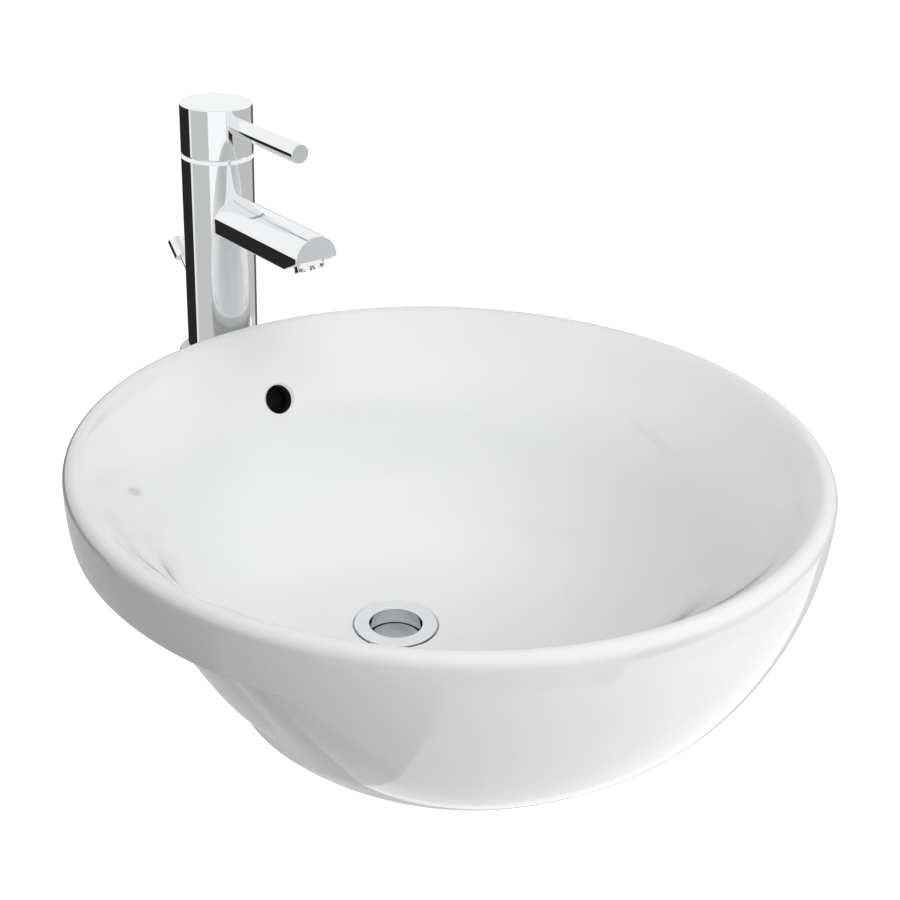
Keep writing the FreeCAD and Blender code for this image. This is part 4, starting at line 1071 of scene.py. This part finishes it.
@dataclass
class Tap:
    """The single lever tap: body, spout, cap and lever."""

    finishes: Finishes
    back: float = 282.4
    radius: float = 26.8
    bottom: float = 12.5
    floor: float = 4.5
    bore: float = 23.5
    block: float = 104.0
    top: float = 164.4
    nut_bore: float = 23.0
    nut_seat: float = 149.0
    pivot: float = 153.1
    dome: float = 29.1
    dome_wall: float = 1.9
    dome_mouth: float = 18.0
    cap_bottom: float = 166.8
    cap_top: float = 204.4
    cap_clear: float = 0.3
    lever_drop: float = 12.2
    lever_root: float = 6.2
    lever_tip: float = 7.0
    lever_reach: float = 108.7
    lever_recess: float = 2.0
    spout_radius: float = 17.4
    spout_side: float = 8.5
    spout_height: float = 120.7
    spout_reach: float = 127.8
    spout_cut: float = 28.6
    aerator_radius: float = 10.8
    aerator_set: float = 11.4
    aerator_proud: float = 4.6
    aerator_inside: float = 6.4
    aerator_wall: float = 1.6
    notch_width: float = 3.4
    notch_depth: float = 2.2
    notches: int = 4
    foot_bore: float = 16.5
    foot_edge: float = 0.8
    top_edge: float = 0.5
    fine_edge: float = 0.3
    dome_steps: int = 24
    cap_steps: int = 20
    cap_crown: float = 0.16
    cap_edge: float = 0.9
    cap_low_edge: float = 0.35
    lever_edge: float = 0.6
    spout_steps: int = 49
    spout_round: float = 1.2
    spout_round_steps: int = 6
    spout_sunk: float = 0.1
    spout_edge: float = 0.5
    spout_sharp: float = 20.0
    spout_nose: float = 20.0
    crease: float = 30.0

    def build_body(self) -> bpy.types.Object:
        """The upright tube with its hollow underside.

        Returns:
            The piece.
        """
        tall = self.top - self.bottom
        outline = rounded([
            (self.radius, 0, self.foot_edge), (self.radius, tall, self.top_edge),
            (self.nut_bore, tall, self.fine_edge),
            (self.nut_bore, self.nut_seat - self.bottom, 0), (0, self.nut_seat - self.bottom, 0),
            (0, self.block - self.bottom, 0), (self.bore, self.block - self.bottom, 0),
            (self.bore, self.floor, 0), (self.foot_bore, self.floor, 0), (self.foot_bore, 0, 0)])
        piece = lathe("tap_tube", outline, (0, self.back, self.bottom), steps=WIDE)
        return self.finishes.plate(piece, Body.FIXED, "tap_body")

    def build_dome(self) -> bpy.types.Object:
        """The domed ring under the cap.

        Returns:
            The piece.
        """
        low = self.top - self.pivot
        line = []
        for radius in (self.dome, self.dome - self.dome_wall):
            arc = [(radius * math.cos(turn), radius * math.sin(turn)) for turn in np.linspace(
                math.asin(low / radius), math.acos(self.dome_mouth / radius), self.dome_steps)]
            line += arc[::-1] if line else arc
        piece = lathe("tap_dome", line, (0, self.back, self.pivot))
        return self.finishes.plate(piece, Body.FIXED, "dome_ring")

    def build_cap(self) -> bpy.types.Object:
        """The cap that tips over the dome.

        Returns:
            The piece.
        """
        tall = self.cap_top - self.cap_bottom
        shell = self.dome + self.cap_clear
        low = self.cap_bottom - self.pivot
        hollow = [(shell * math.cos(turn), shell * math.sin(turn) - low) for turn in np.linspace(
            math.pi / 2 - self.cap_crown, math.asin(low / shell), self.cap_steps)]
        outline = rounded([(self.radius, 0, self.cap_low_edge),
                           (self.radius, tall, self.cap_edge), (0, tall, 0)])
        roof = hollow[0][1]
        piece = lathe("tap_cap", [(0, roof)] + hollow + outline, (0, self.back, self.cap_bottom),
                      steps=WIDE)
        return self.finishes.plate(piece, Body.HANDLE, "handle_cap")

    def build_lever(self) -> bpy.types.Object:
        """The lever pin that points over the spout.

        Returns:
            The piece.
        """
        length = self.lever_reach - self.radius + self.lever_recess
        outline = rounded([(0, 0, 0), (self.lever_root, 0, 0),
                           (self.lever_tip, length, self.lever_edge), (0, length, 0)])
        at = (0, self.back - self.radius + self.lever_recess, self.cap_top - self.lever_drop)
        piece = lathe("tap_lever", outline, at, aimed(90), SMALL)
        return self.finishes.plate(piece, Body.HANDLE, "lever")

    def build_spout(self) -> bpy.types.Object:
        """The half round spout with its slanting lower front.

        Returns:
            The piece.
        """
        mesh = bmesh.new()
        arc = [(self.spout_radius * math.cos(turn), self.spout_radius * math.sin(turn))
               for turn in np.linspace(0, math.pi, self.spout_steps)]
        half, low, soft = self.spout_radius, -self.spout_side, self.spout_round
        foot = [(-half + soft * (1 - math.cos(turn)), low + soft * (1 - math.sin(turn)))
                for turn in np.linspace(0, math.pi / 2, self.spout_round_steps)]
        section = arc + foot + [(-x, z) for x, z in reversed(foot)]
        front = self.back - self.spout_reach
        verts = [mesh.verts.new((x * MM, front * MM, (z + self.spout_height) * MM))
                 for x, z in section]
        face = mesh.faces.new(verts)
        sunk = self.radius - self.spout_sunk
        for vert in extruded(mesh, face, (0, 0, 0)):
            vert.co.y = (self.back - math.sqrt(sunk ** 2 - (vert.co.x / MM) ** 2)) * MM
        cut = math.radians(self.spout_cut)
        corner = Vector((0, front, self.spout_height)) * MM
        normal = Vector((0, -math.sin(cut), -math.cos(cut)))
        whole = list(mesh.verts) + list(mesh.edges) + list(mesh.faces)
        sliced = bmesh.ops.bisect_plane(mesh, geom=whole, plane_co=corner, plane_no=normal,
                                        clear_outer=True, dist=MERGE)
        rim = picked(sliced["geom_cut"], bmesh.types.BMEdge)
        bmesh.ops.holes_fill(mesh, edges=rim, sides=0)
        bmesh.ops.recalc_face_normals(mesh, faces=mesh.faces)
        creases = [edge for edge in mesh.edges if len(edge.link_faces) == 2
                   and edge.calc_face_angle(0) > math.radians(self.spout_sharp)
                   and min(vert.co.y for vert in edge.verts) < (front + self.spout_nose) * MM]
        bmesh.ops.bevel(mesh, geom=creases, offset=self.spout_edge * MM, segments=3, profile=0.5,
                        affect="EDGES", material=-1)
        piece = publish(mesh, "tap_spout", self.crease)
        return self.finishes.plate(piece, Body.FIXED, "spout")

    def on_stream(self, distance: float) -> Point:
        """A point on the aerator's axis.

        Args:
            distance: Distance outwards from the slanting face.

        Returns:
            The point in millimetres.
        """
        cut = math.radians(self.spout_cut)
        front = self.back - self.spout_reach
        return (0.0,
                front + self.aerator_set * math.cos(cut) - distance * math.sin(cut),
                self.spout_height - self.aerator_set * math.sin(cut) - distance * math.cos(cut))

    def build_aerator(self) -> bpy.types.Object:
        """The notched ring of the aerator.

        Returns:
            The piece.
        """
        length = self.aerator_inside + self.aerator_proud
        inner = self.aerator_radius - self.aerator_wall
        turn = aimed(180 - self.spout_cut)
        base = self.on_stream(-self.aerator_inside)
        piece = lathe("aerator_ring", rounded([
            (inner, 0, 0), (self.aerator_radius, 0, 0),
            (self.aerator_radius, length, self.fine_edge), (inner, length, self.fine_edge)], 3),
            base, turn, SMALL)
        place = Matrix.Translation(Vector(base) * MM) @ turn.to_4x4()
        pitch = math.pi / self.notches
        bars = []
        for step in range(self.notches):
            mesh = bmesh.new()
            bmesh.ops.create_cube(mesh, size=1.0)
            bmesh.ops.scale(mesh, verts=mesh.verts, vec=(
                3 * self.aerator_radius * MM, self.notch_width * MM, 2 * self.notch_depth * MM))
            bmesh.ops.rotate(mesh, verts=mesh.verts, cent=(0, 0, 0),
                             matrix=Matrix.Rotation(pitch * (step + 0.5), 3, "Z"))
            bmesh.ops.translate(mesh, verts=mesh.verts, vec=(0, 0, length * MM))
            bmesh.ops.transform(mesh, matrix=place, verts=mesh.verts)
            bars.append(publish(mesh, f"notch_{step}"))
        piece = combined(piece, bars, "DIFFERENCE", self.crease)
        return self.finishes.plate(piece, Body.FIXED, "aerator_housing")

    def build(self) -> List[bpy.types.Object]:
        """Build every visible piece of the tap.

        Returns:
            The pieces.
        """
        return [self.build_body(), self.build_dome(), self.build_cap(), self.build_lever(),
                self.build_spout(), self.build_aerator()]


# ------------------------------------------------------- pop-up waste and rod


@dataclass
class PopUpWaste:
    """The flange in the bowl's floor and the plug in its throat."""

    finishes: Finishes
    back: float = 55.0
    top: float = -127.0
    radius: float = 30.2
    thick: float = 2.0
    tube: float = 21.3
    bore: float = 19.2
    length: float = 69.0
    seat_drop: float = 17.0
    seat_thick: float = 3.0
    seat_bore: float = 16.6
    plug_radius: float = 18.4
    plug_under: float = -142.2
    plug_thick: float = 3.0
    plug_rise: float = 1.2
    plug_edge: float = 0.6
    bore_edge: float = 1.0
    rim_edge: float = 0.9
    under_edge: float = 0.2
    end_edge: float = 0.8
    end_bore_edge: float = 0.6
    seat_edge: float = 0.3
    steps: int = 160

    def build(self) -> List[bpy.types.Object]:
        """Build the flange and the plug's cap.

        Returns:
            The pieces.
        """
        seat = self.seat_drop
        outline = rounded([
            (self.bore, 0, self.bore_edge), (self.radius, 0, self.rim_edge),
            (self.radius, -self.thick, self.under_edge), (self.tube, -self.thick, 0),
            (self.tube, -self.length, self.end_edge), (self.bore, -self.length, self.end_bore_edge),
            (self.bore, -seat - self.seat_thick, 0),
            (self.seat_bore, -seat - self.seat_thick, self.seat_edge),
            (self.seat_bore, -seat, self.seat_edge), (self.bore, -seat, 0)])
        flange = lathe("waste_ring", outline, (0, self.back, self.top), steps=self.steps)
        self.finishes.plate(flange, Body.FIXED, "waste_flange")
        cap_line = rounded([(0, 0, 0), (self.plug_radius, 0, 0),
                            (self.plug_radius, self.plug_thick, self.plug_edge),
                            (0, self.plug_thick + self.plug_rise, 0)])
        cap = lathe("plug_disc", cap_line, (0, self.back, self.plug_under))
        self.finishes.plate(cap, Body.PLUG, "plug_cap")
        cap.data.materials[0] = self.finishes.satin
        return [flange, cap]


@dataclass
class PullKnob:
    """The turned knob on the pull rod behind the tap."""

    finishes: Finishes
    exit_back: float = 309.2
    exit_height: float = 38.0
    tilt: float = 45.0
    start: float = 42.0
    radius: float = 6.4
    length: float = 16.0
    edge: float = 0.7
    hole: float = 2.6

    def build(self) -> bpy.types.Object:
        """Build the knob.

        Returns:
            The piece.
        """
        slope = math.radians(self.tilt)
        outline = rounded([(self.hole, 0, 0), (self.radius, 0, self.edge),
                           (self.radius, self.length, self.edge), (0, self.length, 0),
                           (0, self.length / 2, 0), (self.hole, self.length / 2, 0)])
        at = (0, self.exit_back + self.start * math.sin(slope),
              self.exit_height + self.start * math.cos(slope))
        knob = lathe("rod_knob", outline, at, aimed(-self.tilt), SMALL)
        return self.finishes.plate(knob, Body.PULL, "pull_knob")


# ------------------------------------------------------------------ studio


@dataclass(frozen=True)
class Flag:
    """A glowing card, upright or level, that only reflections show: a painted reflection, pale or
    dark by its tone.

    Its bearings are degrees about the tap, from the line towards the camera.
    """

    name: str
    start: float
    end: float
    # Glow strength of the card, that is, the brightness of its painted reflection.
    tone: float
    low: float = -0.44
    high: float = 0.0
    flat: bool = False
    radius: float = 1.2


@dataclass(frozen=True)
class Lamp:
    """A soft box, placed rightwards, towards the camera and upwards of the bowl."""

    name: str
    place: Point
    size: float
    power: float


@dataclass
class Studio:
    """Camera, lamps and the white surroundings."""

    eye: Point = (-0.6119, -0.7264, 0.5141)
    forward: Point = (0.5747, 0.6837, -0.4496)
    right: Point = (0.7655, -0.6435, 0.0)
    up: Point = (0.2893, 0.3442, 0.8932)
    roll: float = 2.225
    lens: float = 64.68
    sensor: float = 36.0
    clip: Pair = (0.05, 20.0)
    card_step: float = 4.0
    ambient: float = 0.14
    seen_white: float = 1.0
    floor_height: float = -0.83
    floor_half: float = 9.0
    floor_tone: float = 0.9
    floor_lift: float = 0.9
    ring_centre: Pair = (0.0, 0.2824)
    lamps: Tuple[Lamp, ...] = (
        Lamp("sky", (0.0, -0.2, 1.7), 1.6, 13.6),
        Lamp("front_right", (1.0, 1.1, 0.8), 0.8, 13.2),
        Lamp("front", (0.3, 1.5, 1.1), 1.0, 4.6),
        Lamp("left", (-1.4, 0.3, 0.7), 1.0, 2.2),
        Lamp("under", (1.3, 0.3, -0.6), 0.8, 2.6),
    )
    # Glowing cards seen only in reflections, each a painted reflection; the low flat rings paint a
    # darker reflection of the floor, the high ring a reflection overhead.
    flags: Tuple[Flag, ...] = (
        Flag("flag_left", -180.0, -94.0, 0.022, -0.5),
        Flag("card_left_edge", -94.0, -86.0, 0.92, -0.6),
        Flag("card_left", -86.0, -27.0, 0.60, -0.6),
        Flag("card_front", -27.0, 29.0, 1.06, -0.6),
        Flag("card_front_edge", 29.0, 36.0, 0.78, -0.6),
        Flag("flag_front", 36.0, 49.0, 0.02, -0.44),
        Flag("card_right", 49.0, 139.0, 0.57, -0.44),
        Flag("flag_right", 139.0, 180.0, 0.11, -0.5),
        Flag("painted_reflection_overhead", 0.0, 360.0, 0.86, 1.9, flat=True, radius=1.7),
        Flag("painted_reflection_low_back", 110.0, 182.0, 0.68, -0.8, flat=True, radius=4.0),
        Flag("painted_reflection_low_left", -178.0, -60.0, 0.58, -0.8, flat=True, radius=4.0),
        Flag("painted_reflection_low_front", -60.0, 0.0, 0.85, -0.8, flat=True, radius=4.0),
    )

    def add_camera(self) -> None:
        """Stand the camera where the picture was taken."""
        roll = math.radians(self.roll)
        right, up = Vector(self.right), Vector(self.up)
        across = right * math.cos(roll) + up * math.sin(roll)
        upright = up * math.cos(roll) - right * math.sin(roll)
        data = bpy.data.cameras.new("camera")
        data.lens = self.lens
        data.sensor_width = self.sensor
        data.clip_start, data.clip_end = self.clip
        camera = bpy.data.objects.new("camera", data)
        turn = Matrix((across, upright, -Vector(self.forward))).transposed()
        camera.matrix_world = Matrix.Translation(self.eye) @ turn.to_4x4()
        bpy.context.scene.collection.objects.link(camera)
        bpy.context.scene.camera = camera

    def in_view(self, place: Point) -> Vector:
        """Turn picture directions into the part's frame.

        Args:
            place: Rightwards, towards the camera, and upwards.

        Returns:
            The place in the part's frame.
        """
        right = Vector(self.right)
        near = Vector((-self.forward[0], -self.forward[1], 0)).normalized()
        return right * place[0] + near * place[1] + Vector((0, 0, place[2]))

    def add_lamps(self) -> None:
        """Hang the soft boxes, aimed at the bowl."""
        for row in self.lamps:
            data = bpy.data.lights.new(row.name, "AREA")
            data.size = row.size
            data.energy = row.power
            lamp = bpy.data.objects.new(row.name, data)
            lamp.location = self.in_view(row.place)
            lamp.rotation_mode = "QUATERNION"
            lamp.rotation_quaternion = (-lamp.location).to_track_quat("-Z", "Y")
            lamp.visible_glossy = False
            bpy.context.scene.collection.objects.link(lamp)

    def add_world(self) -> None:
        """White for the camera and in reflections, grey for what is lit by it."""
        world = bpy.data.worlds.new("surroundings")
        bpy.context.scene.world = world
        tree = empty_tree(world)
        seen = fed(tree, "ShaderNodeBackground")
        seen.inputs["Strength"].default_value = self.seen_white
        seen.inputs["Color"].default_value = (1, 1, 1, 1)
        lit = fed(tree, "ShaderNodeBackground")
        lit.inputs["Color"].default_value = (self.ambient,) * 3 + (1,)
        mix = fed(tree, "ShaderNodeMixShader", self.seen_rays(tree), lit.outputs[0],
                  seen.outputs[0])
        fed(tree, "ShaderNodeOutputWorld", mix.outputs[0])

    @staticmethod
    def seen_rays(tree: bpy.types.NodeTree) -> bpy.types.NodeSocket:
        """One for rays of the camera, of mirrors and through glass, otherwise zero.

        Args:
            tree: Node tree that gets the nodes.

        Returns:
            The socket with that number.
        """
        path = fed(tree, "ShaderNodeLightPath").outputs
        result = path["Is Camera Ray"]
        for kind in ("Is Glossy Ray", "Is Transmission Ray"):
            either = fed(tree, "ShaderNodeMath", result, path[kind])
            either.operation = "MAXIMUM"
            result = either.outputs[0]
        return result

    def add_floor(self) -> None:
        """Lay a pale floor far under the basin; it stays white and keeps the shadow."""
        mesh = bmesh.new()
        bmesh.ops.create_grid(mesh, x_segments=1, y_segments=1, size=self.floor_half)
        bmesh.ops.translate(mesh, vec=(0, 0, self.floor_height), verts=mesh.verts)
        floor = publish(mesh, "floor")
        material = bpy.data.materials.new("pale_floor")
        tree = empty_tree(material)
        paint = fed(tree, "ShaderNodeBsdfDiffuse")
        paint.inputs["Color"].default_value = (self.floor_tone,) * 3 + (1,)
        scale = fed(tree, "ShaderNodeMath", self.seen_rays(tree))
        scale.operation = "MULTIPLY"
        scale.inputs[1].default_value = self.floor_lift
        lift = fed(tree, "ShaderNodeEmission")
        tree.links.new(scale.outputs[0], lift.inputs["Strength"])
        both = fed(tree, "ShaderNodeAddShader", paint.outputs[0], lift.outputs[0])
        fed(tree, "ShaderNodeOutputMaterial", both.outputs[0])
        floor.data.materials.append(material)

    def add_flags(self) -> None:
        """Stand glowing pale and dark cards round the tap: painted reflections, hidden from the
        camera and lighting nothing.
        """
        base = math.atan2(self.eye[1] - self.ring_centre[1], self.eye[0] - self.ring_centre[0])
        for flag in self.flags:
            mesh = bmesh.new()
            low = mesh.verts.new((flag.radius, 0, flag.low))
            high = mesh.verts.new((0, 0, flag.low) if flag.flat
                                  else (flag.radius, 0, flag.high))
            edge = mesh.edges.new((low, high))
            span = math.radians(flag.end - flag.start)
            bmesh.ops.rotate(mesh, verts=[low, high], cent=(0, 0, 0),
                             matrix=Matrix.Rotation(base + math.radians(flag.start), 3, "Z"))
            bmesh.ops.spin(mesh, geom=[low, high, edge], cent=(0, 0, 0), axis=(0, 0, 1),
                           angle=span,
                           steps=max(2, int((flag.end - flag.start) / self.card_step)))
            bmesh.ops.translate(mesh, vec=(*self.ring_centre, 0), verts=mesh.verts)
            bmesh.ops.remove_doubles(mesh, verts=mesh.verts, dist=LINE)
            card = publish(mesh, flag.name)
            material = bpy.data.materials.new(flag.name)
            tree = empty_tree(material)
            # The card glows at its tone: a painted reflection.
            glow = fed(tree, "ShaderNodeEmission")
            glow.inputs["Strength"].default_value = flag.tone
            fed(tree, "ShaderNodeOutputMaterial", glow.outputs[0])
            card.data.materials.append(material)
            card.visible_camera = False
            card.visible_diffuse = False
            card.visible_shadow = False
            card.visible_transmission = False

    def build(self) -> None:
        """Set up the whole studio."""
        self.add_camera()
        self.add_lamps()
        self.add_world()
        self.add_floor()
        self.add_flags()
        bpy.context.scene.view_settings.view_transform = "Standard"


def dress_frame(finishes: Finishes) -> None:
    """Give every carried-over piece the finish of its slot.

    Args:
        finishes: The materials.
    """
    slots = {row["node"]: Slot(row["material_slot"]) for row in frame["record"]["subparts"]}
    for name, node in frame["nodes"].items():
        finishes.dress(node, slots[name])
        log.info("dressed %s as %s", name, slots[name].value)


def main() -> None:
    """Build the object piece by piece."""
    logging.basicConfig(level=logging.INFO, format="%(message)s")
    finishes = Finishes()
    dress_frame(finishes)
    Studio().build()
    for maker in (Basin(finishes), Tap(finishes), PopUpWaste(finishes), PullKnob(finishes)):
        made = maker.build()
        for piece in made if isinstance(made, list) else [made]:
            log.info("built %s with %d faces", piece.name, len(piece.data.polygons))


if __name__ == "__main__":
    main()
